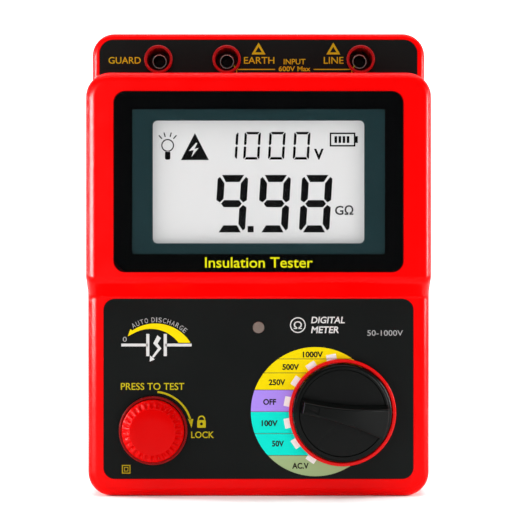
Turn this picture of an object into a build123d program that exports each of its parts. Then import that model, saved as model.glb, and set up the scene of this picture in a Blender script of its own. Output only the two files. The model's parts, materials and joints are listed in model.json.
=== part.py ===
from build123d import *
import os
from math import cos, radians, sin, tan

os.makedirs("parts", exist_ok=True)

# The tester stands on its lower end. +Z runs up to the sockets, the face looks along -Y and +X is
# to the right of someone reading it. The origin is under the middle of the body. A "height" is a
# distance forward from the plane that the back feet touch. All sizes are in millimetres.

# ---- driving sizes: case
body_width = 148.0
body_length = 202.0
corner_radius = 10.5
wall = 2.8
foot_height = 1.5
foot_radius = 4.6
foot_side_distance = 24.0
lower_foot_z = 11.0
upper_foot_distance = 28.0
parting_height = 34.0
strip_height = 55.0
deck_height = 68.0
hump_height = 77.0
step_bottom = 86.3
step_top = 93.4
strip_inset = 0.8
shoulder_radius = 4.0
strip_edge_radius = 2.2
rear_edge_radius = 5.0
seam_chamfer = 0.5
seal_groove_edge = 1.1
seal_groove_width = 1.2
seal_groove_depth = 1.0
seal_clearance = 0.1

# ---- driving sizes: face panels and display
panel_thickness = 1.0
panel_clearance = 0.15
control_panel_side = 7.1
control_panel_bottom = 7.8
control_panel_top = 85.5
control_panel_radius = 4.8
terminal_panel_side = 4.1
terminal_panel_edge = 2.8
terminal_panel_radius = 6.0
pane_side = 12.1
pane_length = 77.3
pane_radius = 5.0
pane_top_distance = 8.2
pane_thickness = 1.3
pane_setback = 0.1
mask_thickness = 0.2
bezel_view_width = 108.0
bezel_view_length = 62.0
bezel_thickness = 3.0
bezel_rim = 1.7
bezel_opening_rim = 2.0
mask_corner_radius = 0.9
lcd_view_width = 90.8
lcd_view_length = 52.7
lcd_view_radius = 2.1
lcd_width = 98.0
lcd_length = 60.0
lcd_thickness = 2.0
backlight_thickness = 3.3
holder_rim = 2.4
holder_lip = 3.0
holder_stand = 6.5
display_boss_side = 7.1
display_boss_end = 3.4
display_board_side = 2.3
display_board_end = 3.7
board_corner_radius = 2.0
connector_edge_distance = 7.05
connector_length = 36.0
connector_width = 5.0
stack_gap = 0.2
board_thickness = 1.6

# ---- driving sizes: sockets
socket_places = {"guard": -44.0, "earth": -14.0, "line": 45.0}
socket_flange_rim = 0.65
socket_flange_height = 1.2
socket_barrel_radius = 5.6
socket_barrel_wall = 0.5
socket_depth = 22.0
socket_floor = 2.5
contact_bore_radius = 2.0
contact_radius = 3.4
contact_recess = 9.0
contact_depth = 14.0
contact_end = 1.5
contact_tail_radius = 1.2
contact_tail_length = 4.0
socket_nut_rim = 1.9
socket_nut_gap = 1.1
socket_hump_gap = 1.65
socket_nut_height = 3.0
socket_edge_round = 0.5
lead_drop = 12.0
lead_pad_distance = 9.0

# ---- driving sizes: selector
selector_x = 36.2
selector_z = 36.5
selector_rest_angle = 168.75
knob_radius = 21.2
knob_height = 18.0
knob_lift = 0.4
skirt_height = 4.6
skirt_edge_radius = 1.5
dish_depth = 0.7
dish_radius = 18.5
blade_tip_half = 3.2
blade_waist_half = 4.0
blade_end_half = 7.4
blade_draft = 3.0
blade_reach = 19.4
blade_crown_drop = 1.6
blade_tip_setback = 1.2
blade_back_setback = 1.0
blade_edge_round = 0.8
arrow_setback = 3.0
arrow_length = 5.6
arrow_half = 1.5
shaft_radius = 3.0
shaft_seat = 6.0
ring_gap = 0.3
ring_width = 1.6
ring_height = 2.6
ring_edge_round = 0.4
switch_radius = 13.5
switch_height = 13.4
switch_neck_radius = 4.6
rotor_radius = 10.0
rotor_thickness = 2.5
rotor_gap = 0.4
rotor_height = 4.0
rotor_room = 7.5
shaft_fit = 0.05
shaft_grip = 0.02
shaft_hole_gap = 0.5
shaft_end_gap = 0.4

# ---- driving sizes: test button
button_x = -45.4
button_z = 28.8
button_radius = 13.5
button_bevel_width = 3.5
button_height = 8.5
button_travel = 4.0
button_flutes = 28
flute_radius = 0.75
flute_depth = 0.35
button_bevel_height = 3.5
collar_gap = 0.3
collar_wall = 0.6
collar_lip_width = 0.35
collar_edge_round = 0.4
collar_lip_height = 3.0
collar_depth = 7.0
collar_floor = 2.0
plunger_radius = 4.0
plunger_flange_radius = 8.0
plunger_flange_thickness = 1.6
cap_wall = 1.8
cap_rim_lift = 1.0
spring_radius = 6.2
spring_wire = 1.2
test_switch_side = 12.0
test_switch_body = 7.0
test_switch_height = 8.4
test_switch_nib_radius = 3.2

# ---- driving sizes: inside
main_board_height = 42.0
main_board_bottom = 18.0
main_board_top_distance = 28.0
board_side_gap = 3.2
boss_radius = 3.4
lower_boss_z = 46.0
upper_boss_z = 80.0
hump_boss_distance = 14.7
display_boss_radius = 2.8
post_radius = 4.2
post_edge_distance = 10.5
screw_radius = 1.5
screw_head_radius = 2.8
screw_head_height = 2.0
screw_well_depth = 23.5
case_screw_length = 20.0
board_screw_bite = 7.0
display_screw_bite = 5.0
post_hole_depth = 14.0
boss_hole_depth = 9.0
display_hole_depth = 7.0
slot_length = 3.4
slot_width = 0.8
slot_depth = 1.1
screw_clearance = 0.15
cell_radius = 7.25
cell_length = 50.5
cell_nub_length = 1.2
cell_nub_radius = 2.7
cell_rows = 4
cell_gap = 0.5
contact_space = 2.0
contact_plate = 0.6
contact_plate_side = 9.0
contact_button_radius = 2.4
tray_wall = 1.6
tray_centre_z = 50.0
door_thickness = 1.6
door_overlap = 2.0
door_screw_space = 4.0
door_clearance = 0.2
door_corner_radius = 3.0
door_boss_height = 10.0
door_hole_depth = 9.0
door_screw_head_height = 0.9
door_screw_length = 7.0
door_slot_length = 4.0
door_slot_depth = 0.6
groove_count = 5
groove_pitch = 4.0
groove_length = 30.0
groove_width = 1.6
groove_depth = 0.6
door_pad_thickness = 1.6
door_pad_border = 3.0
pad_gap = 0.3
lens_radius = 2.5
lens_z = 73.2
lens_rise = 0.4
lens_edge_round = 0.35
led_radius = 1.5
led_rim = 0.4
led_rim_height = 1.0
led_length = 5.0
led_leg_radius = 0.3
led_leg_x = 1.27
lead_radius = 0.9
overshoot = 1.0
fit_gap = 0.1

# ---- driving sizes: what stands behind the main board
transformer_x = -38.0
transformer_z = 140.0
core_width = 30.0
core_length = 26.0
core_height = 22.0
core_plate = 4.0
core_post_radius = 5.0
winding_radius = 10.5
capacitor_points = [(-4, 132), (-4, 148), (14, 132)]
capacitor_radius = 6.3
capacitor_length = 20.0
capacitor_edge_round = 1.0
relay_points = [(34, 112), (34, 128), (34, 144)]
relay_width = 20.0
relay_length = 10.0
relay_height = 11.0
relay_edge_round = 0.8
chip_points = [(0, 108), (-30, 110)]
chip_side = 12.0
chip_height = 1.6
fuse_x = 58.0
fuse_z = 128.0
fuse_radius = 2.6
fuse_length = 20.0
fuse_axis_depth = 4.5
clip_distance = 7.0
clip_width = 8.0
clip_length = 5.0
clip_depth = 6.5
clip_gap = 4.0
buzzer_x = 12.0
buzzer_z = 160.0
buzzer_radius = 6.0
buzzer_hole_radius = 1.0
buzzer_height = 6.0

# ---- sizes that follow
overall_depth = deck_height + knob_height
back_y = overall_depth / 2
socket_flange_radius = socket_barrel_radius + socket_flange_rim
socket_edge_distance = wall + socket_nut_gap + socket_nut_rim + socket_barrel_radius
strip_length = socket_edge_distance + socket_flange_radius + socket_hump_gap
hump_top = body_length - strip_length
foot_x = body_width / 2 - foot_side_distance
upper_foot_z = body_length - upper_foot_distance
control_panel_width = body_width - 2 * control_panel_side
terminal_panel_width = body_width - 2 * terminal_panel_side
pane_width = body_width - 2 * pane_side
pane_centre_z = hump_top - pane_top_distance - pane_length / 2
main_board_top = body_length - main_board_top_distance
post_x = body_width / 2 - post_edge_distance
socket_z = body_length - socket_edge_distance
strip_width = body_width - 2 * strip_inset
strip_foot_z = hump_top - 2 * corner_radius
deck_seat = deck_height - panel_thickness
strip_seat = strip_height - panel_thickness
terminal_panel_foot = hump_top + panel_clearance
terminal_panel_head = body_length - terminal_panel_edge
deck_inside = deck_height - wall
hump_inside = hump_height - wall
pane_back = hump_height - pane_setback - pane_thickness
pane_seat = pane_back - mask_thickness
bezel_front = pane_seat - stack_gap
bezel_back = bezel_front - bezel_thickness
lcd_front = bezel_back - stack_gap
lcd_back = lcd_front - lcd_thickness
backlight_back = lcd_back - backlight_thickness
display_board_height = backlight_back - holder_stand
display_board_front = display_board_height + board_thickness
main_board_front = main_board_height + board_thickness
groove_inner_edge = seal_groove_edge + seal_groove_width
seal_outer_edge = seal_groove_edge + seal_clearance
seal_inner_edge = groove_inner_edge - seal_clearance
foot_points = [(side * foot_x, z) for side in (-1, 1) for z in (lower_foot_z, upper_foot_z)]
post_rows = (post_edge_distance, body_length - post_edge_distance)
screw_points = [(side * post_x, z) for side in (-1, 1) for z in post_rows]
lower_posts = [point for point in screw_points if point[1] < hump_top]
upper_posts = [point for point in screw_points if point[1] > hump_top]
boss_x = body_width / 2 - wall - board_side_gap - boss_radius
deck_bosses = [(side * boss_x, z) for side in (-1, 1) for z in (lower_boss_z, upper_boss_z)]
hump_bosses = [(side * boss_x, hump_top - hump_boss_distance) for side in (-1, 1)]
display_boss_x = lcd_width / 2 + holder_rim + display_boss_side
display_boss_rise = lcd_length / 2 + holder_rim + display_boss_end
display_bosses = [
    (side * display_boss_x, pane_centre_z + end * display_boss_rise) for side in (-1, 1) for end in (-1, 1)
]
display_board_width = 2 * (display_boss_x + display_board_side)
display_board_length = 2 * (display_boss_rise + display_board_end)
connector_z = pane_centre_z - display_board_length / 2 + connector_edge_distance
screw_seat = foot_height + screw_well_depth
cell_pitch = 2 * cell_radius + cell_gap
bay_length = cell_rows * cell_pitch
bay_width = 2 * cell_length + 4 * contact_space + tray_wall
rear_inside = foot_height + wall
door_front = foot_height + door_thickness
pad_front = door_front + door_pad_thickness
cell_height = pad_front + pad_gap + cell_radius
tray_floor = cell_height + cell_radius + fit_gap
tray_top = tray_floor + tray_wall
door_width = bay_width + 2 * (tray_wall + 2 * door_screw_space)
door_length = bay_length + 2 * door_overlap
door_screw_x = bay_width / 2 + tray_wall + door_screw_space
door_screw_points = [(side * door_screw_x, tray_centre_z) for side in (-1, 1)]
knob_foot = deck_height + knob_lift
skirt_top = knob_foot + skirt_height
knob_top = deck_height + knob_height
ring_inner_radius = knob_radius + ring_gap
switch_top = main_board_front + switch_height
button_top_radius = button_radius - button_bevel_width
collar_bore_radius = button_radius + collar_gap
collar_barrel_radius = collar_bore_radius + collar_wall
collar_radius = collar_barrel_radius + collar_lip_width
collar_foot = deck_seat - collar_depth
collar_seat = collar_foot + collar_floor
button_top = deck_height + button_height
cap_underside = button_top - cap_wall
cap_rim = deck_height + cap_rim_lift
plunger_top = cap_underside - fit_gap
test_switch_top = main_board_front + test_switch_height
plunger_foot = test_switch_top + button_travel + fit_gap
spring_foot = collar_seat
spring_head = plunger_top - plunger_flange_thickness
socket_well_radius = socket_barrel_radius - socket_barrel_wall
socket_points = [(x, socket_z) for x in socket_places.values()]
socket_mouth = strip_height + socket_flange_height
socket_foot = strip_height - socket_depth
contact_mouth = socket_mouth - contact_recess
contact_foot = contact_mouth - contact_depth
tail_end = contact_foot - contact_end - contact_tail_length
core_foot = main_board_height - core_height
fuse_axis = main_board_height - fuse_axis_depth
led_foot = deck_inside - led_length


def facing(height, x=0, z=0):
    """Plane that looks the way the face does: its x runs right and its y runs up."""
    return Plane(origin=(x, back_y - height, z), x_dir=(1, 0, 0), z_dir=(0, -1, 0))


def at(x, z, height):
    """Point in space from a place on the face and a height above the back."""
    return (x, back_y - height, z)


def selector_plane(height):
    """Plane across the selector's axis whose x runs along the pointer at rest."""
    angle = radians(selector_rest_angle)
    return Plane(
        origin=at(selector_x, selector_z, height), x_dir=(cos(angle), 0, sin(angle)), z_dir=(0, -1, 0)
    )


def selector_section():
    """Plane through the selector's axis: x runs along the pointer and y is the height."""
    angle = radians(selector_rest_angle)
    return Plane(
        origin=at(selector_x, selector_z, 0),
        x_dir=(cos(angle), 0, sin(angle)),
        z_dir=(sin(angle), 0, -cos(angle)),
    )


def button_section():
    """Plane through the button's axis: x runs right and y is the height."""
    return Plane(origin=at(button_x, button_z, 0), x_dir=(1, 0, 0), z_dir=(0, 0, -1))


def front_block(inset, edge_radius):
    """Display housing and control deck as one block, or its hollow when set in by the wall."""
    deck_y = back_y - deck_height + inset
    hump_y = back_y - hump_height + inset
    rise = inset / 2
    with BuildPart() as block:
        with BuildSketch(facing(parting_height)):
            with Locations((0, hump_top / 2)):
                RectangleRounded(body_width - 2 * inset, hump_top - 2 * inset, corner_radius - inset)
        extrude(amount=hump_height - inset - parting_height)
        with BuildSketch(Plane.YZ) as step:
            with BuildLine():
                Polyline(
                    (deck_y, -overshoot),
                    (deck_y, step_bottom + rise),
                    (hump_y, step_top + rise),
                    (hump_y - overshoot, step_top + rise),
                    (hump_y - overshoot, -overshoot),
                    close=True,
                )
            make_face()
            if edge_radius > 0:
                fillet(step.vertices().sort_by_distance((deck_y, step_bottom))[0], edge_radius / 3)
        extrude(amount=body_width, both=True, mode=Mode.SUBTRACT)
        if edge_radius > 0:
            brow = block.edges().filter_by(Axis.X).sort_by_distance((0, hump_y, step_top))[0]
            fillet(brow, edge_radius)
            face_side = block.faces().filter_by(lambda face: face.normal_at().Y < -0.3)
            rim = [
                edge
                for edge in block.edges()
                if sum(any(edge.is_same(other) for other in face.edges()) for face in face_side) == 1
            ]
            fillet(rim, edge_radius)
    return block.part


def strip_block(inset, edge_radius):
    """Terminal strip above the display housing, or its hollow when set in by the wall."""
    with BuildPart() as block:
        with BuildSketch(facing(parting_height)):
            with Locations((0, (strip_foot_z + body_length) / 2)):
                RectangleRounded(
                    strip_width - 2 * inset,
                    body_length - strip_foot_z - 2 * inset,
                    corner_radius - strip_inset - inset,
                )
        extrude(amount=strip_height - inset - parting_height)
        if edge_radius > 0:
            fillet(block.faces().sort_by(Axis.Y)[0].edges(), edge_radius)
    return block.part


def corner_radii(points):
    """Bend radius at each inner point of a lead's route, as large as its two runs allow."""
    radii = []
    for before, here, after in zip(points, points[1:], points[2:]):
        arriving = Vector(*here) - Vector(*before)
        leaving = Vector(*after) - Vector(*here)
        half_turn = radians(arriving.get_angle(leaving)) / 2
        radii.append(0.45 * min(arriving.length, leaving.length) / tan(half_turn))
    return radii


def lead(points):
    """Insulated lead along a route of straight runs joined by tangent arcs."""
    radii = corner_radii(points)
    print("lead bend radii", [round(radius, 1) for radius in radii])
    with BuildPart() as insulated:
        with BuildLine() as route:
            FilletPolyline(*points, radius=radii)
        with BuildSketch(Plane(origin=route.line @ 0, z_dir=route.line % 0)):
            Circle(lead_radius)
        sweep()
    return insulated.part


# ---- front case
with BuildPart() as front_case:
    add(front_block(0, shoulder_radius))
    add(strip_block(0, strip_edge_radius))
    seam = front_case.faces().sort_by(Axis.Y)[-1]
    chamfer(seam.outer_wire().edges(), seam_chamfer)
    add(front_block(wall, 0), mode=Mode.SUBTRACT)
    add(strip_block(wall, 0), mode=Mode.SUBTRACT)
    with BuildSketch(facing(parting_height)):
        with Locations(*lower_posts):
            Circle(post_radius)
    extrude(amount=deck_height - wall / 2 - parting_height)
    with BuildSketch(facing(parting_height)):
        with Locations(*upper_posts):
            Circle(post_radius)
    extrude(amount=strip_height - wall / 2 - parting_height)
    with BuildSketch(facing(main_board_front)):
        with Locations(*deck_bosses):
            Circle(boss_radius)
    extrude(amount=deck_height - wall / 2 - main_board_front)
    with BuildSketch(facing(main_board_front)):
        with Locations(*hump_bosses):
            Circle(boss_radius)
    extrude(amount=hump_height - wall / 2 - main_board_front)
    with BuildSketch(facing(display_board_front)):
        with Locations(*display_bosses):
            Circle(display_boss_radius)
    extrude(amount=hump_height - wall / 2 - display_board_front)
    # screw holes from behind
    with BuildSketch(facing(parting_height)):
        with Locations(*screw_points):
            Circle(screw_radius + fit_gap)
    extrude(amount=post_hole_depth, mode=Mode.SUBTRACT)
    with BuildSketch(facing(main_board_front)):
        with Locations(*deck_bosses, *hump_bosses):
            Circle(screw_radius + fit_gap)
    extrude(amount=boss_hole_depth, mode=Mode.SUBTRACT)
    with BuildSketch(facing(display_board_front)):
        with Locations(*display_bosses):
            Circle(screw_radius + fit_gap)
    extrude(amount=display_hole_depth, mode=Mode.SUBTRACT)
    # seats for the two printed panels and the pane
    with BuildSketch(facing(deck_seat)):
        with Locations((0, (control_panel_bottom + control_panel_top) / 2)):
            RectangleRounded(
                control_panel_width + 2 * panel_clearance,
                control_panel_top - control_panel_bottom + 2 * panel_clearance,
                control_panel_radius + panel_clearance,
            )
    extrude(amount=panel_thickness + overshoot, mode=Mode.SUBTRACT)
    with BuildSketch(facing(strip_seat)):
        with Locations((0, (hump_top + terminal_panel_head) / 2)):
            RectangleRounded(
                terminal_panel_width + 2 * panel_clearance,
                terminal_panel_head - hump_top + 2 * panel_clearance,
                terminal_panel_radius + panel_clearance,
            )
        with Locations((0, hump_top + terminal_panel_radius)):
            Rectangle(terminal_panel_width + 2 * panel_clearance, 2 * terminal_panel_radius)
    extrude(amount=panel_thickness + overshoot, mode=Mode.SUBTRACT)
    with BuildSketch(facing(pane_seat)):
        with Locations((0, pane_centre_z)):
            RectangleRounded(
                pane_width + 2 * panel_clearance,
                pane_length + 2 * panel_clearance,
                pane_radius + panel_clearance,
            )
    extrude(amount=hump_height - pane_seat + overshoot, mode=Mode.SUBTRACT)
    with BuildSketch(facing(hump_inside - overshoot)):
        with Locations((0, pane_centre_z)):
            Rectangle(bezel_view_width + 2 * bezel_opening_rim, bezel_view_length + 2 * bezel_opening_rim)
    extrude(amount=pane_seat - hump_inside + 2 * overshoot, mode=Mode.SUBTRACT)
    # openings in the deck and the strip
    with BuildSketch(facing(deck_inside - overshoot)):
        with Locations((button_x, button_z)):
            Circle(collar_barrel_radius + fit_gap)
        with Locations((selector_x, selector_z)):
            Circle(shaft_radius + shaft_hole_gap)
        with Locations((0, lens_z)):
            Circle(lens_radius + fit_gap)
    extrude(amount=panel_thickness + wall + overshoot, mode=Mode.SUBTRACT)
    with BuildSketch(facing(strip_height - wall - overshoot)):
        with Locations(*socket_points):
            Circle(socket_barrel_radius + fit_gap)
    extrude(amount=wall + 2 * overshoot, mode=Mode.SUBTRACT)
front_case.part.label = "front_case"
export_step(front_case.part, "parts/front_case.step")

# ---- rear case
with BuildPart() as rear_case:
    with BuildSketch(facing(foot_height)):
        with Locations((0, body_length / 2)):
            RectangleRounded(body_width, body_length, corner_radius)
    extrude(amount=parting_height - foot_height)
    fillet(rear_case.faces().sort_by(Axis.Y)[-1].edges(), rear_edge_radius)
    chamfer(rear_case.faces().sort_by(Axis.Y)[0].edges(), seam_chamfer)
    with BuildSketch(facing(rear_inside)):
        with Locations((0, body_length / 2)):
            RectangleRounded(body_width - 2 * wall, body_length - 2 * wall, corner_radius - wall)
    extrude(amount=parting_height - rear_inside, mode=Mode.SUBTRACT)
    with BuildSketch(facing(rear_inside - wall / 2)):
        with Locations(*screw_points):
            Circle(post_radius)
    extrude(amount=parting_height - rear_inside + wall / 2)
    with BuildSketch(facing(rear_inside - wall / 2)):
        with Locations(*door_screw_points):
            Circle(door_screw_space - 2 * fit_gap)
    extrude(amount=door_boss_height)
    # door seat, battery opening and screw holes
    with BuildSketch(facing(foot_height - overshoot)):
        with Locations((0, tray_centre_z)):
            RectangleRounded(
                door_width + 2 * door_clearance, door_length + 2 * door_clearance, door_corner_radius
            )
    extrude(amount=door_thickness + overshoot, mode=Mode.SUBTRACT)
    with BuildSketch(facing(foot_height)):
        with Locations((0, tray_centre_z)):
            Rectangle(bay_width, bay_length)
    extrude(amount=wall + overshoot, mode=Mode.SUBTRACT)
    with BuildSketch(facing(foot_height)):
        with Locations(*door_screw_points):
            Circle(screw_radius + screw_clearance)
    extrude(amount=door_hole_depth, mode=Mode.SUBTRACT)
    with BuildSketch(facing(foot_height - overshoot)):
        with Locations(*screw_points):
            Circle(screw_head_radius + 2 * fit_gap)
    extrude(amount=screw_well_depth + overshoot, mode=Mode.SUBTRACT)
    with BuildSketch(facing(foot_height)):
        with Locations(*screw_points):
            Circle(screw_radius + screw_clearance)
    extrude(amount=parting_height, mode=Mode.SUBTRACT)
    # groove for the seal
    with BuildSketch(facing(parting_height - seal_groove_depth)):
        with Locations((0, body_length / 2)):
            RectangleRounded(
                body_width - 2 * seal_groove_edge,
                body_length - 2 * seal_groove_edge,
                corner_radius - seal_groove_edge,
            )
            RectangleRounded(
                body_width - 2 * groove_inner_edge,
                body_length - 2 * groove_inner_edge,
                corner_radius - groove_inner_edge,
                mode=Mode.SUBTRACT,
            )
    extrude(amount=seal_groove_depth + overshoot, mode=Mode.SUBTRACT)
rear_case.part.label = "rear_case"
export_step(rear_case.part, "parts/rear_case.step")

# ---- seal between the halves
with BuildPart() as case_gasket:
    with BuildSketch(facing(parting_height - seal_groove_depth + seal_clearance / 2)):
        with Locations((0, body_length / 2)):
            RectangleRounded(
                body_width - 2 * seal_outer_edge,
                body_length - 2 * seal_outer_edge,
                corner_radius - seal_outer_edge,
            )
            RectangleRounded(
                body_width - 2 * seal_inner_edge,
                body_length - 2 * seal_inner_edge,
                corner_radius - seal_inner_edge,
                mode=Mode.SUBTRACT,
            )
    extrude(amount=seal_groove_depth - seal_clearance)
case_gasket.part.label = "case_gasket"
export_step(case_gasket.part, "parts/case_gasket.step")

# ---- screws that close the case from behind
with BuildPart() as case_screws:
    with BuildSketch(facing(screw_seat)):
        with Locations(*screw_points):
            Circle(screw_head_radius)
    extrude(amount=-screw_head_height)
    with BuildSketch(facing(screw_seat)):
        with Locations(*screw_points):
            Circle(screw_radius)
    extrude(amount=case_screw_length)
    with BuildSketch(facing(screw_seat - screw_head_height)):
        with Locations(*screw_points):
            Rectangle(slot_length, slot_width)
            Rectangle(slot_width, slot_length)
    extrude(amount=slot_depth, mode=Mode.SUBTRACT)
case_screws.part.label = "case_screws"
export_step(case_screws.part, "parts/case_screws.step")

# ---- rubber feet on the back
with BuildPart() as rubber_feet:
    with BuildSketch(facing(0)):
        with Locations(*foot_points):
            Circle(foot_radius)
    extrude(amount=foot_height)
rubber_feet.part.label = "rubber_feet"
export_step(rubber_feet.part, "parts/rubber_feet.step")

# ---- printed panels
with BuildPart() as control_panel:
    with BuildSketch(facing(deck_seat)):
        with Locations((0, (control_panel_bottom + control_panel_top) / 2)):
            RectangleRounded(
                control_panel_width, control_panel_top - control_panel_bottom, control_panel_radius
            )
        with Locations((button_x, button_z)):
            Circle(collar_barrel_radius + fit_gap, mode=Mode.SUBTRACT)
        with Locations((selector_x, selector_z)):
            Circle(shaft_radius + shaft_hole_gap, mode=Mode.SUBTRACT)
        with Locations((0, lens_z)):
            Circle(lens_radius + fit_gap, mode=Mode.SUBTRACT)
    extrude(amount=panel_thickness)
control_panel.part.label = "control_panel"
export_step(control_panel.part, "parts/control_panel.step")

with BuildPart() as terminal_panel:
    with BuildSketch(facing(strip_seat)):
        with Locations((0, (terminal_panel_foot + terminal_panel_head) / 2)):
            RectangleRounded(
                terminal_panel_width, terminal_panel_head - terminal_panel_foot, terminal_panel_radius
            )
        with Locations((0, terminal_panel_foot + terminal_panel_radius / 2)):
            Rectangle(terminal_panel_width, terminal_panel_radius)
        with Locations(*socket_points):
            Circle(socket_barrel_radius + fit_gap, mode=Mode.SUBTRACT)
    extrude(amount=panel_thickness)
terminal_panel.part.label = "terminal_panel"
export_step(terminal_panel.part, "parts/terminal_panel.step")

# ---- display, from the face inwards
with BuildPart() as display_window:
    with BuildSketch(facing(pane_back)):
        with Locations((0, pane_centre_z)):
            RectangleRounded(pane_width, pane_length, pane_radius)
    extrude(amount=pane_thickness)
display_window.part.label = "display_window"
export_step(display_window.part, "parts/display_window.step")

with BuildPart() as window_mask:
    with BuildSketch(facing(pane_seat)):
        with Locations((0, pane_centre_z)):
            RectangleRounded(pane_width, pane_length, pane_radius)
            RectangleRounded(bezel_view_width, bezel_view_length, mask_corner_radius, mode=Mode.SUBTRACT)
    extrude(amount=mask_thickness)
window_mask.part.label = "window_mask"
export_step(window_mask.part, "parts/window_mask.step")

with BuildPart() as display_bezel:
    with BuildSketch(facing(bezel_back)):
        with Locations((0, pane_centre_z)):
            Rectangle(bezel_view_width + 2 * bezel_rim, bezel_view_length + 2 * bezel_rim)
            RectangleRounded(lcd_view_width, lcd_view_length, lcd_view_radius, mode=Mode.SUBTRACT)
    extrude(amount=bezel_thickness)
display_bezel.part.label = "display_bezel"
export_step(display_bezel.part, "parts/display_bezel.step")

with BuildPart() as lcd_panel:
    with BuildSketch(facing(lcd_back)):
        with Locations((0, pane_centre_z)):
            Rectangle(lcd_width, lcd_length)
    extrude(amount=lcd_thickness)
lcd_panel.part.label = "lcd_panel"
export_step(lcd_panel.part, "parts/lcd_panel.step")

with BuildPart() as lcd_backlight:
    with BuildSketch(facing(backlight_back)):
        with Locations((0, pane_centre_z)):
            Rectangle(lcd_width, lcd_length)
    extrude(amount=backlight_thickness)
lcd_backlight.part.label = "lcd_backlight"
export_step(lcd_backlight.part, "parts/lcd_backlight.step")

with BuildPart() as lcd_holder:
    with BuildSketch(facing(display_board_front)):
        with Locations((0, pane_centre_z)):
            Rectangle(lcd_width + 2 * holder_rim, lcd_length + 2 * holder_rim)
            Rectangle(lcd_width - 2 * holder_lip, lcd_length - 2 * holder_lip, mode=Mode.SUBTRACT)
    extrude(amount=lcd_front - display_board_front)
    with BuildSketch(facing(backlight_back)):
        with Locations((0, pane_centre_z)):
            Rectangle(lcd_width + 2 * fit_gap, lcd_length + 2 * fit_gap)
    extrude(amount=lcd_front - backlight_back + overshoot, mode=Mode.SUBTRACT)
lcd_holder.part.label = "lcd_holder"
export_step(lcd_holder.part, "parts/lcd_holder.step")

with BuildPart() as display_board:
    with BuildSketch(facing(display_board_height)):
        with Locations((0, pane_centre_z)):
            RectangleRounded(display_board_width, display_board_length, board_corner_radius)
        with Locations(*display_bosses):
            Circle(screw_radius + fit_gap, mode=Mode.SUBTRACT)
    extrude(amount=board_thickness)
display_board.part.label = "display_board"
export_step(display_board.part, "parts/display_board.step")

# ---- main board and what stands on it
with BuildPart() as main_board:
    with BuildSketch(facing(main_board_height)):
        with Locations((0, (main_board_bottom + main_board_top) / 2)):
            RectangleRounded(
                body_width - 2 * (wall + board_side_gap),
                main_board_top - main_board_bottom,
                board_corner_radius,
            )
        with Locations(*deck_bosses, *hump_bosses):
            Circle(screw_radius + fit_gap, mode=Mode.SUBTRACT)
    extrude(amount=board_thickness)
main_board.part.label = "main_board"
export_step(main_board.part, "parts/main_board.step")

with BuildPart() as board_screws:
    with BuildSketch(facing(main_board_height)):
        with Locations(*deck_bosses, *hump_bosses):
            Circle(screw_head_radius)
    extrude(amount=-screw_head_height)
    with BuildSketch(facing(main_board_height)):
        with Locations(*deck_bosses, *hump_bosses):
            Circle(screw_radius)
    extrude(amount=board_thickness + board_screw_bite)
    with BuildSketch(facing(display_board_height)):
        with Locations(*display_bosses):
            Circle(screw_head_radius)
    extrude(amount=-screw_head_height)
    with BuildSketch(facing(display_board_height)):
        with Locations(*display_bosses):
            Circle(screw_radius)
    extrude(amount=board_thickness + display_screw_bite)
board_screws.part.label = "board_screws"
export_step(board_screws.part, "parts/board_screws.step")

with BuildPart() as board_connector:
    with BuildSketch(facing(main_board_front)):
        with Locations((0, connector_z)):
            Rectangle(connector_length, connector_width)
    extrude(amount=display_board_height - main_board_front)
board_connector.part.label = "board_connector"
export_step(board_connector.part, "parts/board_connector.step")

with BuildPart() as transformer_core:
    for plate_back in (core_foot, main_board_height - core_plate):
        with BuildSketch(facing(plate_back, transformer_x, transformer_z)):
            Rectangle(core_width, core_length)
        extrude(amount=core_plate)
    with BuildSketch(facing(core_foot, transformer_x, transformer_z)):
        with GridLocations(core_width - core_plate, 0, 2, 1):
            Rectangle(core_plate, core_length)
        Circle(core_post_radius)
    extrude(amount=core_height)
transformer_core.part.label = "transformer_core"
export_step(transformer_core.part, "parts/transformer_core.step")

with BuildPart() as transformer_winding:
    with BuildSketch(facing(core_foot + core_plate + fit_gap, transformer_x, transformer_z)):
        Circle(winding_radius)
        Circle(core_post_radius + fit_gap, mode=Mode.SUBTRACT)
    extrude(amount=core_height - 2 * core_plate - 2 * fit_gap)
transformer_winding.part.label = "transformer_winding"
export_step(transformer_winding.part, "parts/transformer_winding.step")

with BuildPart() as reservoir_capacitors:
    with BuildSketch(facing(main_board_height)):
        with Locations(*capacitor_points):
            Circle(capacitor_radius)
    extrude(amount=-capacitor_length)
    fillet(reservoir_capacitors.edges().group_by(Axis.Y)[-1], capacitor_edge_round)
reservoir_capacitors.part.label = "reservoir_capacitors"
export_step(reservoir_capacitors.part, "parts/reservoir_capacitors.step")

with BuildPart() as range_relays:
    with BuildSketch(facing(main_board_height)):
        with Locations(*relay_points):
            Rectangle(relay_width, relay_length)
    extrude(amount=-relay_height)
    fillet(range_relays.edges().filter_by(Axis.Y), relay_edge_round)
range_relays.part.label = "range_relays"
export_step(range_relays.part, "parts/range_relays.step")

with BuildPart() as control_chips:
    with BuildSketch(facing(main_board_height)):
        with Locations(*chip_points):
            Rectangle(chip_side, chip_side)
    extrude(amount=-chip_height)
control_chips.part.label = "control_chips"
export_step(control_chips.part, "parts/control_chips.step")

with BuildPart() as fuse:
    with BuildSketch(Plane(origin=at(fuse_x, fuse_z - fuse_length / 2, fuse_axis), z_dir=(0, 0, 1))):
        Circle(fuse_radius)
    extrude(amount=fuse_length)
fuse.part.label = "fuse"
export_step(fuse.part, "parts/fuse.step")

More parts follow.
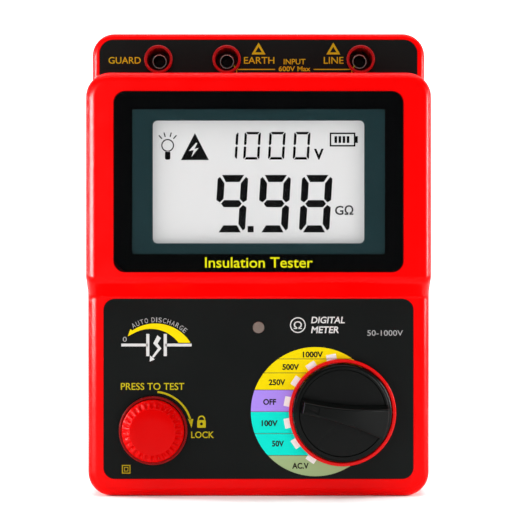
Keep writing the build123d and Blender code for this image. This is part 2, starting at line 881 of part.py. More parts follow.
with BuildPart() as fuse_clips:
    with BuildSketch(facing(main_board_height, fuse_x, fuse_z)):
        with GridLocations(0, 2 * clip_distance, 1, 2):
            Rectangle(clip_width, clip_length)
    extrude(amount=-clip_depth)
    with BuildSketch(Plane(origin=at(fuse_x, fuse_z, fuse_axis), z_dir=(0, 0, 1))):
        Circle(fuse_radius + fit_gap / 2)
    extrude(amount=fuse_length, both=True, mode=Mode.SUBTRACT)
    with BuildSketch(facing(fuse_axis, fuse_x, fuse_z)):
        Rectangle(clip_gap, fuse_length + overshoot)
    extrude(amount=-clip_depth, mode=Mode.SUBTRACT)
fuse_clips.part.label = "fuse_clips"
export_step(fuse_clips.part, "parts/fuse_clips.step")

with BuildPart() as buzzer:
    with BuildSketch(facing(main_board_height, buzzer_x, buzzer_z)):
        Circle(buzzer_radius)
        Circle(buzzer_hole_radius, mode=Mode.SUBTRACT)
    extrude(amount=-buzzer_height)
buzzer.part.label = "buzzer"
export_step(buzzer.part, "parts/buzzer.step")

# ---- indicator
with BuildPart() as indicator_lens:
    with BuildSketch(facing(deck_inside)):
        with Locations((0, lens_z)):
            Circle(lens_radius)
    extrude(amount=deck_height + lens_rise - deck_inside)
    fillet(indicator_lens.edges().group_by(Axis.Y)[0], lens_edge_round)
indicator_lens.part.label = "indicator_lens"
export_step(indicator_lens.part, "parts/indicator_lens.step")

with BuildPart() as indicator_led:
    with BuildSketch(facing(main_board_front, 0, lens_z)):
        with GridLocations(2 * led_leg_x, 0, 2, 1):
            Circle(led_leg_radius)
    extrude(amount=led_foot - main_board_front)
    with BuildSketch(facing(led_foot - fit_gap, 0, lens_z)):
        Circle(led_radius + led_rim)
    extrude(amount=led_rim_height)
    with BuildSketch(facing(led_foot - fit_gap + led_rim_height, 0, lens_z)):
        Circle(led_radius)
    extrude(amount=led_length - led_rim_height - fit_gap)
indicator_led.part.label = "indicator_led"
export_step(indicator_led.part, "parts/indicator_led.step")

# ---- sockets: housings, contacts, nuts and leads
for name, x in socket_places.items():
    with BuildPart() as housing:
        with BuildSketch(facing(strip_height, x, socket_z)):
            Circle(socket_flange_radius)
        extrude(amount=socket_flange_height)
        fillet(housing.edges().group_by(Axis.Y)[0], socket_edge_round)
        with BuildSketch(facing(strip_height, x, socket_z)):
            Circle(socket_barrel_radius)
        extrude(amount=-socket_depth)
        with BuildSketch(facing(socket_foot + socket_floor, x, socket_z)):
            Circle(socket_well_radius)
        extrude(amount=socket_depth + socket_flange_height, mode=Mode.SUBTRACT)
        with BuildSketch(facing(socket_foot - overshoot, x, socket_z)):
            Circle(contact_radius + fit_gap / 2)
        extrude(amount=socket_floor + 2 * overshoot, mode=Mode.SUBTRACT)
    housing.part.label = f"{name}_housing"
    export_step(housing.part, f"parts/{name}_housing.step")

for name, x in socket_places.items():
    with BuildPart() as contact:
        with BuildSketch(facing(contact_foot, x, socket_z)):
            Circle(contact_radius)
        extrude(amount=contact_depth)
        chamfer(contact.edges().group_by(Axis.Y)[0], socket_edge_round)
        with BuildSketch(facing(contact_foot, x, socket_z)):
            Circle(contact_radius)
        extrude(amount=-contact_end)
        with BuildSketch(facing(contact_foot - contact_end, x, socket_z)):
            Circle(contact_tail_radius)
        extrude(amount=-contact_tail_length)
        with BuildSketch(facing(contact_foot, x, socket_z)):
            Circle(contact_bore_radius)
        extrude(amount=contact_depth + overshoot, mode=Mode.SUBTRACT)
    contact.part.label = f"{name}_contact"
    export_step(contact.part, f"parts/{name}_contact.step")

with BuildPart() as socket_nuts:
    with BuildSketch(facing(strip_height - wall)):
        with Locations(*socket_points):
            RegularPolygon(socket_barrel_radius + socket_nut_rim, 6, major_radius=False)
            Circle(socket_barrel_radius + fit_gap / 2, mode=Mode.SUBTRACT)
    extrude(amount=-socket_nut_height)
socket_nuts.part.label = "socket_nuts"
export_step(socket_nuts.part, "parts/socket_nuts.step")

for name, x in socket_places.items():
    with BuildPart() as socket_lead:
        route = [
            at(x, socket_z, tail_end),
            at(x, socket_z, tail_end - lead_drop),
            at(x, main_board_top - lead_pad_distance, tail_end - lead_drop),
            at(x, main_board_top - lead_pad_distance, main_board_height),
        ]
        add(lead(route))
    socket_lead.part.label = f"{name}_lead"
    export_step(socket_lead.part, f"parts/{name}_lead.step")

# ---- selector: switch on the main board, shaft, knob and the ring around it
with BuildPart() as selector_switch:
    with BuildSketch(facing(main_board_front, selector_x, selector_z)):
        Circle(switch_radius)
    extrude(amount=switch_height)
    with BuildSketch(facing(switch_top, selector_x, selector_z)):
        Circle(switch_neck_radius)
    extrude(amount=deck_inside - 2 * fit_gap - switch_top)
    with BuildSketch(facing(main_board_front, selector_x, selector_z)):
        Circle(rotor_radius + rotor_gap)
    extrude(amount=rotor_room, mode=Mode.SUBTRACT)
    with BuildSketch(facing(main_board_front, selector_x, selector_z)):
        Circle(shaft_radius + shaft_fit)
    extrude(amount=deck_inside - main_board_front, mode=Mode.SUBTRACT)
selector_switch.part.label = "selector_switch"
export_step(selector_switch.part, "parts/selector_switch.step")

with BuildPart() as selector_shaft:
    with BuildSketch(facing(main_board_front + shaft_end_gap, selector_x, selector_z)):
        Circle(shaft_radius)
    extrude(amount=skirt_top + shaft_seat - main_board_front - shaft_end_gap)
    with BuildSketch(facing(main_board_front + rotor_height, selector_x, selector_z)):
        Circle(rotor_radius)
    extrude(amount=rotor_thickness)
selector_shaft.part.label = "selector_shaft"
export_step(selector_shaft.part, "parts/selector_shaft.step")

blade_front = blade_reach - blade_tip_setback
blade_back = blade_back_setback - blade_reach
arrow_front = blade_reach - arrow_setback
arrow_back = arrow_front - arrow_length
with BuildPart() as selector_knob:
    with BuildSketch(selector_plane(skirt_top - dish_depth)):
        with BuildLine():
            Line((blade_front, -blade_tip_half), (blade_front, blade_tip_half))
            ThreePointArc((blade_front, blade_tip_half), (0, blade_waist_half), (blade_back, blade_end_half))
            ThreePointArc((blade_back, blade_end_half), (-blade_reach, 0), (blade_back, -blade_end_half))
            ThreePointArc(
                (blade_back, -blade_end_half), (0, -blade_waist_half), (blade_front, -blade_tip_half)
            )
        make_face()
    extrude(amount=knob_top - skirt_top + dish_depth, taper=blade_draft)
    with BuildSketch(selector_section()):
        with BuildLine():
            ThreePointArc(
                (-knob_radius, knob_top - blade_crown_drop),
                (0, knob_top),
                (knob_radius, knob_top - blade_crown_drop),
            )
            Polyline(
                (knob_radius, knob_top - blade_crown_drop),
                (knob_radius, knob_top + overshoot),
                (-knob_radius, knob_top + overshoot),
                (-knob_radius, knob_top - blade_crown_drop),
            )
        make_face()
    extrude(amount=knob_radius, both=True, mode=Mode.SUBTRACT)
    crown = selector_knob.faces().sort_by(Axis.Y)[0]
    fillet(crown.edges(), blade_edge_round)
    with BuildSketch(selector_plane(knob_top - blade_crown_drop)):
        with BuildLine():
            Polyline((arrow_front, 0), (arrow_back, arrow_half), (arrow_back, -arrow_half), close=True)
        make_face()
    extrude(amount=blade_crown_drop, mode=Mode.SUBTRACT)
    with BuildSketch(selector_section()):
        with BuildLine():
            Polyline((0, skirt_top - dish_depth), (0, knob_foot), (knob_radius, knob_foot))
            Line((knob_radius, knob_foot), (knob_radius, skirt_top - skirt_edge_radius))
            RadiusArc(
                (knob_radius, skirt_top - skirt_edge_radius),
                (knob_radius - skirt_edge_radius, skirt_top),
                -skirt_edge_radius,
            )
            Polyline(
                (knob_radius - skirt_edge_radius, skirt_top),
                (dish_radius + dish_depth / 2, skirt_top),
                (dish_radius, skirt_top - dish_depth),
                (0, skirt_top - dish_depth),
            )
        make_face()
    revolve(axis=Axis((selector_x, 0, selector_z), (0, -1, 0)))
    with BuildSketch(facing(knob_foot, selector_x, selector_z)):
        Circle(shaft_radius + shaft_grip)
    extrude(amount=skirt_height + shaft_seat + fit_gap, mode=Mode.SUBTRACT)
selector_knob.part.label = "selector_knob"
export_step(selector_knob.part, "parts/selector_knob.step")

with BuildPart() as selector_ring:
    with BuildSketch(facing(deck_height, selector_x, selector_z)):
        Circle(ring_inner_radius + ring_width)
        Circle(ring_inner_radius, mode=Mode.SUBTRACT)
    extrude(amount=ring_height)
    fillet(selector_ring.edges().group_by(Axis.Y)[0], ring_edge_round)
selector_ring.part.label = "selector_ring"
export_step(selector_ring.part, "parts/selector_ring.step")

# ---- test button: collar, plunger, return spring, cap and the switch below it
with BuildPart() as button_collar:
    with BuildSketch(facing(collar_foot, button_x, button_z)):
        Circle(collar_barrel_radius)
    extrude(amount=deck_height - collar_foot)
    with BuildSketch(facing(deck_height, button_x, button_z)):
        Circle(collar_radius)
    extrude(amount=collar_lip_height)
    fillet(button_collar.edges().group_by(Axis.Y)[0], collar_edge_round)
    with BuildSketch(facing(collar_seat, button_x, button_z)):
        Circle(collar_bore_radius)
    extrude(amount=collar_depth + collar_lip_height + overshoot, mode=Mode.SUBTRACT)
    with BuildSketch(facing(collar_foot - overshoot, button_x, button_z)):
        Circle(plunger_radius + shaft_fit)
    extrude(amount=collar_floor + 2 * overshoot, mode=Mode.SUBTRACT)
button_collar.part.label = "button_collar"
export_step(button_collar.part, "parts/button_collar.step")

with BuildPart() as button_plunger:
    with BuildSketch(facing(plunger_foot, button_x, button_z)):
        Circle(plunger_radius)
    extrude(amount=plunger_top - plunger_foot)
    with BuildSketch(facing(plunger_top, button_x, button_z)):
        Circle(plunger_flange_radius)
    extrude(amount=-plunger_flange_thickness)
button_plunger.part.label = "button_plunger"
export_step(button_plunger.part, "parts/button_plunger.step")

with BuildPart() as button_cap:
    with BuildSketch(button_section()):
        with BuildLine():
            Polyline(
                (0, button_top),
                (button_top_radius, button_top),
                (button_radius, button_top - button_bevel_height),
                (button_radius, cap_rim),
                (button_radius - cap_wall, cap_rim),
                (button_radius - cap_wall, button_top - button_bevel_height - cap_wall / 2),
                (button_top_radius - cap_wall / 2, cap_underside),
                (0, cap_underside),
                close=True,
            )
        make_face()
    revolve(axis=Axis((button_x, 0, button_z), (0, -1, 0)))
    with BuildSketch(facing(deck_height, button_x, button_z)):
        with PolarLocations(button_radius + flute_radius - flute_depth, button_flutes):
            Circle(flute_radius)
    extrude(amount=button_height, mode=Mode.SUBTRACT)
button_cap.part.label = "button_cap"
export_step(button_cap.part, "parts/button_cap.step")

with BuildPart() as button_spring:
    with BuildSketch(facing(spring_foot, button_x, button_z)):
        Circle(spring_radius)
        Circle(spring_radius - spring_wire, mode=Mode.SUBTRACT)
    extrude(amount=spring_head - spring_foot)
button_spring.part.label = "button_spring"
export_step(button_spring.part, "parts/button_spring.step")

with BuildPart() as test_switch:
    with BuildSketch(facing(main_board_front, button_x, button_z)):
        Rectangle(test_switch_side, test_switch_side)
    extrude(amount=test_switch_body)
    with BuildSketch(facing(main_board_front + test_switch_body, button_x, button_z)):
        Circle(test_switch_nib_radius)
    extrude(amount=test_switch_height - test_switch_body)
test_switch.part.label = "test_switch"
export_step(test_switch.part, "parts/test_switch.step")

# ---- battery tray, cells and contacts
row_places = [tray_centre_z + (row - (cell_rows - 1) / 2) * cell_pitch for row in range(cell_rows)]
with BuildPart() as battery_tray:
    with BuildSketch(facing(rear_inside)):
        with Locations((0, tray_centre_z)):
            Rectangle(bay_width + 2 * tray_wall, bay_length + 2 * tray_wall)
    extrude(amount=tray_top - rear_inside)
    with BuildSketch(facing(rear_inside - overshoot)):
        with Locations((0, tray_centre_z)):
            Rectangle(bay_width, bay_length)
            Rectangle(tray_wall, bay_length, mode=Mode.SUBTRACT)
    extrude(amount=tray_floor - rear_inside + overshoot, mode=Mode.SUBTRACT)
    with BuildSketch(facing(rear_inside - overshoot)):
        with Locations((0, tray_centre_z)):
            Rectangle(bay_width, bay_length)
    extrude(amount=pad_front + pad_gap - rear_inside + overshoot, mode=Mode.SUBTRACT)
battery_tray.part.label = "battery_tray"
export_step(battery_tray.part, "parts/battery_tray.step")

half_bay = tray_wall / 2 + contact_space + cell_length / 2
with BuildPart() as battery_cells:
    for row, z in enumerate(row_places):
        for side in (-1, 1):
            toward = 1 if row % 2 == 0 else -1
            start = at(side * half_bay - toward * cell_length / 2, z, cell_height)
            shoulder = at(side * half_bay + toward * (cell_length / 2 - cell_nub_length), z, cell_height)
            with BuildSketch(Plane(origin=start, z_dir=(toward, 0, 0))):
                Circle(cell_radius)
            extrude(amount=cell_length - cell_nub_length)
            with BuildSketch(Plane(origin=shoulder, z_dir=(toward, 0, 0))):
                Circle(cell_nub_radius)
            extrude(amount=cell_nub_length)
battery_cells.part.label = "battery_cells"
export_step(battery_cells.part, "parts/battery_cells.step")

with BuildPart() as battery_contacts:
    for z in row_places:
        for side in (-1, 1):
            for end in (-1, 1):
                wall_x = side * half_bay + end * (cell_length / 2 + contact_space)
                with BuildSketch(Plane(origin=at(wall_x, z, cell_height), z_dir=(-end, 0, 0))):
                    Rectangle(contact_plate_side, contact_plate_side)
                extrude(amount=contact_plate)
                with BuildSketch(Plane(origin=at(wall_x, z, cell_height), z_dir=(-end, 0, 0))):
                    Circle(contact_button_radius)
                extrude(amount=contact_space - fit_gap / 2)
battery_contacts.part.label = "battery_contacts"
export_step(battery_contacts.part, "parts/battery_contacts.step")


def battery_lead(side):
    """Route from the tray's roof forward to the back of the main board."""
    top_row = row_places[-1]
    return lead(
        [
            at(side * 46, top_row, tray_top),
            at(side * 46, top_row, tray_top + 7),
            at(side * 42, top_row + 9, tray_top + 13),
            at(side * 42, top_row + 9, main_board_height),
        ]
    )


with BuildPart() as battery_lead_positive:
    add(battery_lead(1))
battery_lead_positive.part.label = "battery_lead_positive"
export_step(battery_lead_positive.part, "parts/battery_lead_positive.step")

with BuildPart() as battery_lead_negative:
    add(battery_lead(-1))
battery_lead_negative.part.label = "battery_lead_negative"
export_step(battery_lead_negative.part, "parts/battery_lead_negative.step")

# ---- battery door with its pad and captive screws
with BuildPart() as battery_door:
    with BuildSketch(facing(foot_height)):
        with Locations((0, tray_centre_z)):
            RectangleRounded(door_width, door_length, door_corner_radius - door_clearance)
        with Locations(*door_screw_points):
            Circle(screw_radius + fit_gap, mode=Mode.SUBTRACT)
    extrude(amount=door_thickness - fit_gap)
    with BuildSketch(facing(foot_height)):
        with Locations(*door_screw_points):
            Circle(screw_head_radius + fit_gap)
    extrude(amount=door_screw_head_height, mode=Mode.SUBTRACT)
    # finger grooves
    with BuildSketch(facing(foot_height)):
        with Locations((0, tray_centre_z)):
            with GridLocations(0, groove_pitch, 1, groove_count):
                SlotOverall(groove_length, groove_width)
    extrude(amount=groove_depth, mode=Mode.SUBTRACT)
battery_door.part.label = "battery_door"
export_step(battery_door.part, "parts/battery_door.step")

with BuildPart() as door_screws:
    with BuildSketch(facing(foot_height)):
        with Locations(*door_screw_points):
            Circle(screw_head_radius)
    extrude(amount=door_screw_head_height)
    with BuildSketch(facing(foot_height + door_screw_head_height)):
        with Locations(*door_screw_points):
            Circle(screw_radius)
    extrude(amount=door_screw_length)
    with BuildSketch(facing(foot_height)):
        with Locations(*door_screw_points):
            Rectangle(door_slot_length, slot_width)
            Rectangle(slot_width, door_slot_length)
    extrude(amount=door_slot_depth, mode=Mode.SUBTRACT)
door_screws.part.label = "door_screws"
export_step(door_screws.part, "parts/door_screws.step")

with BuildPart() as door_pad:
    with BuildSketch(facing(door_front - fit_gap)):
        with Locations((0, tray_centre_z)):
            Rectangle(bay_width - 2 * door_pad_border, bay_length - 2 * door_pad_border)
    extrude(amount=door_pad_thickness)
door_pad.part.label = "door_pad"
export_step(door_pad.part, "parts/door_pad.step")
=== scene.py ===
import json
import math

import bmesh
import bpy
from mathutils import Matrix, Vector

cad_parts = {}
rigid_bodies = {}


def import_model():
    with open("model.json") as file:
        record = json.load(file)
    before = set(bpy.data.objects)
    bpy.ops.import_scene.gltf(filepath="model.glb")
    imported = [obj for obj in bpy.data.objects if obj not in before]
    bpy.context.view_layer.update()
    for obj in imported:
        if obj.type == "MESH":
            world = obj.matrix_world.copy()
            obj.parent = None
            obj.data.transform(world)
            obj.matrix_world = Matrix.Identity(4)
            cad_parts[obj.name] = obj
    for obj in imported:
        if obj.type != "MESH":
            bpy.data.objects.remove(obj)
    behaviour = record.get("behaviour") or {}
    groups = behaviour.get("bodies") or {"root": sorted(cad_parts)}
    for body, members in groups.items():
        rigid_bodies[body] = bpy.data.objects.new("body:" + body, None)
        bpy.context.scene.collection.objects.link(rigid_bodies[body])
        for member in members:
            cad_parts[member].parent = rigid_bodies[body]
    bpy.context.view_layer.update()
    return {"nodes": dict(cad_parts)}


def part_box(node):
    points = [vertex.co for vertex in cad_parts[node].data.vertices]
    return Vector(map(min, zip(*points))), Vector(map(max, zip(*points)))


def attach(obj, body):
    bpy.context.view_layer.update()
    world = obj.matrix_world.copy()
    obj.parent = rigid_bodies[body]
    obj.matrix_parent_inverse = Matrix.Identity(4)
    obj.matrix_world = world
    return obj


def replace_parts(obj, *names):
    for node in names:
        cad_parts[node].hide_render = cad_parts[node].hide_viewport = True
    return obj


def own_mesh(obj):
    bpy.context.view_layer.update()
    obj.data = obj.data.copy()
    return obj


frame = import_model()

MM = 0.001
INK = 0.06 * MM  # thickness of a printed legend
BITE = 0.01 * MM  # how far a legend sinks into what it is printed on

nodes = frame["nodes"]
back_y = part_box("rubber_feet")[1].y


def height_of(y):
    """Height above the plane of the back feet."""
    return back_y - y


deck_height = height_of(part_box("control_panel")[0].y)
strip_height = height_of(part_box("terminal_panel")[0].y)
pane_height = height_of(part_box("display_window")[0].y)
lcd_height = height_of(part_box("lcd_panel")[0].y)


def middle(node):
    low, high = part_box(node)
    return (low + high) / 2


selector_centre = middle("selector_knob")
button_centre = middle("button_cap")
display_centre = middle("display_window")


# ---------------------------------------------------------------- finishes
NOISE_LOW, NOISE_HIGH = 0.3, 0.7  # values that a noise texture seldom leaves
DRIFT_SCALE = 22  # slow change of colour, per metre
PATCH_SCALE = 90  # patches of gloss, per metre
GLOSS_SPREAD = 0.12  # how far the gloss strays in its patches


def new_finish(name):
    """Empty finish: its material, node tree, shader and object coordinates."""
    material = bpy.data.materials.new(name)
    material.use_nodes = True
    tree = material.node_tree
    tree.nodes.clear()
    output = tree.nodes.new("ShaderNodeOutputMaterial")
    shader = tree.nodes.new("ShaderNodeBsdfPrincipled")
    tree.links.new(shader.outputs["BSDF"], output.inputs["Surface"])
    place = tree.nodes.new("ShaderNodeTexCoord")
    return material, tree, shader, place


def noise(tree, place, scale, detail, stretch=(1, 1, 1)):
    mapping = tree.nodes.new("ShaderNodeMapping")
    mapping.inputs["Scale"].default_value = stretch
    texture = tree.nodes.new("ShaderNodeTexNoise")
    texture.inputs["Scale"].default_value = scale
    texture.inputs["Detail"].default_value = detail
    tree.links.new(place.outputs["Object"], mapping.inputs["Vector"])
    tree.links.new(mapping.outputs["Vector"], texture.inputs["Vector"])
    return texture


def vary_colour(tree, shader, texture, colour, darker):
    ramp = tree.nodes.new("ShaderNodeValToRGB")
    ramp.color_ramp.elements[0].position = NOISE_LOW
    ramp.color_ramp.elements[1].position = NOISE_HIGH
    ramp.color_ramp.elements[0].color = [c * darker for c in colour] + [1]
    ramp.color_ramp.elements[1].color = [*colour, 1]
    tree.links.new(texture.outputs["Fac"], ramp.inputs["Fac"])
    tree.links.new(ramp.outputs["Color"], shader.inputs["Base Color"])


def vary_roughness(tree, shader, texture, low, high):
    spread = tree.nodes.new("ShaderNodeMapRange")
    spread.inputs["From Min"].default_value = NOISE_LOW
    spread.inputs["From Max"].default_value = NOISE_HIGH
    spread.inputs["To Min"].default_value = low
    spread.inputs["To Max"].default_value = high
    tree.links.new(texture.outputs["Fac"], spread.inputs["Value"])
    tree.links.new(spread.outputs["Result"], shader.inputs["Roughness"])


def grain(tree, shader, texture, strength, distance):
    bump = tree.nodes.new("ShaderNodeBump")
    bump.inputs["Strength"].default_value = strength
    bump.inputs["Distance"].default_value = distance
    tree.links.new(texture.outputs["Fac"], bump.inputs["Height"])
    tree.links.new(bump.outputs["Normal"], shader.inputs["Normal"])


def moulded(name, colour, rough, specular, grain_size, grain_depth, darker):
    """Moulded or printed plastic: slow colour drift, patchy gloss and a fine surface grain (in mm)."""
    material, tree, shader, place = new_finish(name)
    shader.inputs["Specular IOR Level"].default_value = specular
    drift = noise(tree, place, DRIFT_SCALE, 2)
    vary_colour(tree, shader, drift, colour, darker)
    patches = noise(tree, place, PATCH_SCALE, 4)
    vary_roughness(tree, shader, patches, rough * (1 - GLOSS_SPREAD), rough * (1 + GLOSS_SPREAD))
    fine = noise(tree, place, 1 / (grain_size * MM), 2)
    grain(tree, shader, fine, 0.35, grain_depth * MM)
    return material


def metal(name, colour, rough, brushed=(1, 1, 1)):
    """Plated or turned metal with fine tool marks."""
    material, tree, shader, place = new_finish(name)
    shader.inputs["Metallic"].default_value = 1.0
    marks = noise(tree, place, 900, 3, brushed)
    vary_colour(tree, shader, noise(tree, place, 60, 2), colour, 0.85)
    vary_roughness(tree, shader, marks, rough * 0.7, rough * 1.4)
    grain(tree, shader, marks, 0.2, 0.02 * MM)
    return material


def clear_pane(name):
    """Clear acrylic with a faint haze."""
    material, tree, shader, place = new_finish(name)
    shader.inputs["Specular IOR Level"].default_value = 0.35
    vary_colour(tree, shader, noise(tree, place, 30, 2), (0.02, 0.022, 0.024), 0.8)
    vary_roughness(tree, shader, noise(tree, place, 140, 3), 0.04, 0.09)
    shader.inputs["Alpha"].default_value = 0.08
    return material


def taped(name, colour, turns):
    """Wound tape or wire: close bands across the piece."""
    material, tree, shader, place = new_finish(name)
    mapping = tree.nodes.new("ShaderNodeMapping")
    wave = tree.nodes.new("ShaderNodeTexWave")
    wave.bands_direction = "Y"
    wave.inputs["Scale"].default_value = turns
    wave.inputs["Distortion"].default_value = 0.4
    tree.links.new(place.outputs["Object"], mapping.inputs["Vector"])
    tree.links.new(mapping.outputs["Vector"], wave.inputs["Vector"])
    vary_colour(tree, shader, wave, colour, 0.55)
    vary_roughness(tree, shader, wave, 0.35, 0.6)
    grain(tree, shader, wave, 0.6, 0.2 * MM)
    return material


def painted_glow_face(name, colour):
    """Pale reflective display face with its very fine cell pattern and a faint painted glow, which lifts the
    face and evens out the shade of its recess.
    """
    material, tree, shader, place = new_finish(name)
    shader.inputs["Specular IOR Level"].default_value = 0.2
    drift = noise(tree, place, 16, 2)
    vary_colour(tree, shader, drift, colour, 0.985)
    vary_roughness(tree, shader, noise(tree, place, 1500, 2), 0.45, 0.6)
    # painted light: the emission lifts the face and fills the shade that the recess casts on its edges
    shader.inputs["Emission Color"].default_value = (*colour, 1)
    shader.inputs["Emission Strength"].default_value = 0.34
    return material


# name, colour, roughness, specular level, grain size and depth in mm, darkest share of the colour
case_red = moulded("case_red_plastic", (0.88, 0.0003, 0.0003), 0.2, 0.05, 0.5, 0.004, 0.985)
ring_red = moulded("ring_red_plastic", (0.78, 0.001, 0.001), 0.25, 0.15, 0.5, 0.008, 0.93)
cap_red = moulded("button_red_plastic", (0.62, 0.0003, 0.0003), 0.2, 0.05, 0.6, 0.006, 0.95)
# painted shade: a darker copy of the case red, standing in for the shade on the button's collar
collar_shade_red = moulded("collar_painted_shade_red", (0.24, 0.0004, 0.0006), 0.3, 0.1, 0.5, 0.008, 0.9)
socket_red = moulded("socket_red_plastic", (0.34, 0.0012, 0.0025), 0.3, 0.2, 0.5, 0.01, 0.9)
panel_film = moulded("panel_black_film", (0.0082, 0.0096, 0.0092), 0.5, 0.05, 0.28, 0.05, 0.75)
mask_print = moulded("window_black_print", (0.0003, 0.0003, 0.0004), 0.4, 0.02, 0.4, 0.004, 0.8)
bezel_teal = moulded("bezel_teal_plastic", (0.012, 0.037, 0.042), 0.5, 0.05, 0.4, 0.01, 0.9)
knob_black = moulded("knob_black_plastic", (0.0022, 0.0028, 0.0025), 0.22, 0.09, 0.55, 0.008, 0.85)
black_part = moulded("black_moulding", (0.014, 0.014, 0.015), 0.5, 0.3, 0.5, 0.03, 0.8)
door_black = moulded("door_black_moulding", (0.02, 0.02, 0.021), 0.55, 0.3, 0.6, 0.06, 0.8)
white_part = moulded("white_moulding", (0.78, 0.78, 0.75), 0.45, 0.3, 0.6, 0.01, 0.95)
rubber = moulded("black_rubber", (0.013, 0.013, 0.013), 0.75, 0.15, 0.5, 0.05, 0.75)
foam = moulded("grey_foam", (0.1, 0.1, 0.1), 0.9, 0.05, 0.8, 0.3, 0.6)
board_green = moulded("board_green_mask", (0.012, 0.11, 0.03), 0.35, 0.45, 2.5, 0.02, 0.75)
ferrite = moulded("grey_ferrite", (0.05, 0.05, 0.055), 0.5, 0.3, 0.7, 0.05, 0.75)
capacitor_blue = moulded("capacitor_sleeve", (0.012, 0.03, 0.16), 0.25, 0.5, 0.5, 0.005, 0.85)
relay_orange = moulded("relay_case", (0.65, 0.2, 0.02), 0.4, 0.4, 0.5, 0.01, 0.9)
lens_smoke = moulded("smoked_lens", (0.2, 0.15, 0.125), 0.2, 0.5, 0.5, 0.002, 0.85)
cell_sleeve = moulded("cell_sleeve", (0.04, 0.13, 0.2), 0.3, 0.5, 0.5, 0.004, 0.9)
wire_black = moulded("wire_black", (0.012, 0.012, 0.012), 0.45, 0.3, 0.5, 0.01, 0.8)
wire_green = moulded("wire_green", (0.01, 0.17, 0.03), 0.45, 0.3, 0.5, 0.01, 0.8)
wire_red = moulded("wire_red", (0.5, 0.006, 0.006), 0.45, 0.3, 0.5, 0.01, 0.8)
steel = metal("zinc_steel", (0.5, 0.5, 0.49), 0.3)
nickel = metal("nickel_plate", (0.72, 0.7, 0.66), 0.2, (1, 6, 1))
tape_yellow = taped("yellow_tape", (0.55, 0.4, 0.03), 260)
pane_clear = clear_pane("clear_acrylic")
lcd_face = painted_glow_face("display_face", (0.7, 0.7, 0.7))

finish_of = {
    "front_case": case_red,
    "rear_case": case_red,
    "case_gasket": rubber,
    "case_screws": steel,
    "rubber_feet": rubber,
    "control_panel": panel_film,
    "terminal_panel": panel_film,
    "display_window": pane_clear,
    "window_mask": mask_print,
    "display_bezel": bezel_teal,
    "lcd_panel": lcd_face,
    "lcd_backlight": white_part,
    "lcd_holder": white_part,
    "display_board": board_green,
    "main_board": board_green,
    "board_screws": steel,
    "board_connector": black_part,
    "transformer_core": ferrite,
    "transformer_winding": tape_yellow,
    "reservoir_capacitors": capacitor_blue,
    "range_relays": relay_orange,
    "control_chips": black_part,
    "fuse": white_part,
    "fuse_clips": nickel,
    "buzzer": black_part,
    "indicator_lens": lens_smoke,
    "indicator_led": white_part,
    "guard_housing": socket_red,
    "earth_housing": socket_red,
    "line_housing": socket_red,
    "guard_contact": nickel,
    "earth_contact": nickel,
    "line_contact": nickel,
    "socket_nuts": black_part,
    "guard_lead": wire_black,
    "earth_lead": wire_green,
    "line_lead": wire_red,
    "selector_switch": black_part,
    "selector_shaft": steel,
    "selector_knob": knob_black,
    "selector_ring": ring_red,
    "button_collar": collar_shade_red,
    "button_plunger": black_part,
    "button_cap": cap_red,
    "button_spring": steel,
    "test_switch": black_part,
    "battery_tray": black_part,
    "battery_cells": cell_sleeve,
    "battery_contacts": nickel,
    "battery_lead_positive": wire_red,
    "battery_lead_negative": wire_black,
    "battery_door": door_black,
    "door_screws": steel,
    "door_pad": foam,
}
for node, finish in finish_of.items():
    nodes[node].data.materials.clear()
    nodes[node].data.materials.append(finish)


# ---------------------------------------------------------------- making pieces
def face_matrix(x, z, height):
    """Takes a flat drawing (x right, y up, z towards the reader) to its place on the face."""
    place = Matrix.Translation((x, back_y - height, z))
    stand_up = Matrix(((1, 0, 0, 0), (0, 0, -1, 0), (0, 1, 0, 0), (0, 0, 0, 1)))
    return place @ stand_up


def tidy_mesh(mesh):
    """Closes seams left by extruded outlines and turns all faces outwards."""
    shape = bmesh.new()
    shape.from_mesh(mesh)
    bmesh.ops.remove_doubles(shape, verts=shape.verts, dist=0.001 * MM)
    bmesh.ops.recalc_face_normals(shape, faces=shape.faces)
    shape.to_mesh(mesh)
    shape.free()
    return mesh


def as_mesh(thing):
    """Plain mesh of a curve, text or modified object, which is then removed."""
    scene_objects = bpy.context.scene.collection.objects
    if thing.name not in scene_objects:
        scene_objects.link(thing)
    bpy.context.view_layer.update()
    mesh = bpy.data.meshes.new_from_object(thing.evaluated_get(bpy.context.evaluated_depsgraph_get()))
    bpy.data.objects.remove(thing)
    return mesh


def joined(meshes):
    """One mesh out of several."""
    shape = bmesh.new()
    for mesh in meshes:
        shape.from_mesh(mesh)
    whole = bpy.data.meshes.new("joined")
    shape.to_mesh(whole)
    shape.free()
    return whole


def piece(name, mesh, finish, body="case", smooth=False):
    """Object that rides on a body, with its place already in its mesh."""
    mesh.name = name
    mesh.materials.clear()
    mesh.materials.append(finish)
    if smooth:
        mesh.shade_smooth()
    made = bpy.data.objects.new(name, mesh)
    bpy.context.scene.collection.objects.link(made)
    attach(made, body)
    return made


def cut_outline(loops):
    """Flat plate from closed outlines in mm; an outline inside another is a hole."""
    curve = bpy.data.curves.new("outline", "CURVE")
    curve.dimensions = "2D"
    curve.fill_mode = "BOTH"
    curve.extrude = INK / 2
    for loop in loops:
        spline = curve.splines.new("POLY")
        spline.points.add(len(loop) - 1)
        for point, (x, y) in zip(spline.points, loop):
            point.co = (x * MM, y * MM, 0, 1)
        spline.use_cyclic_u = True
    return tidy_mesh(as_mesh(bpy.data.objects.new("outline", curve)))


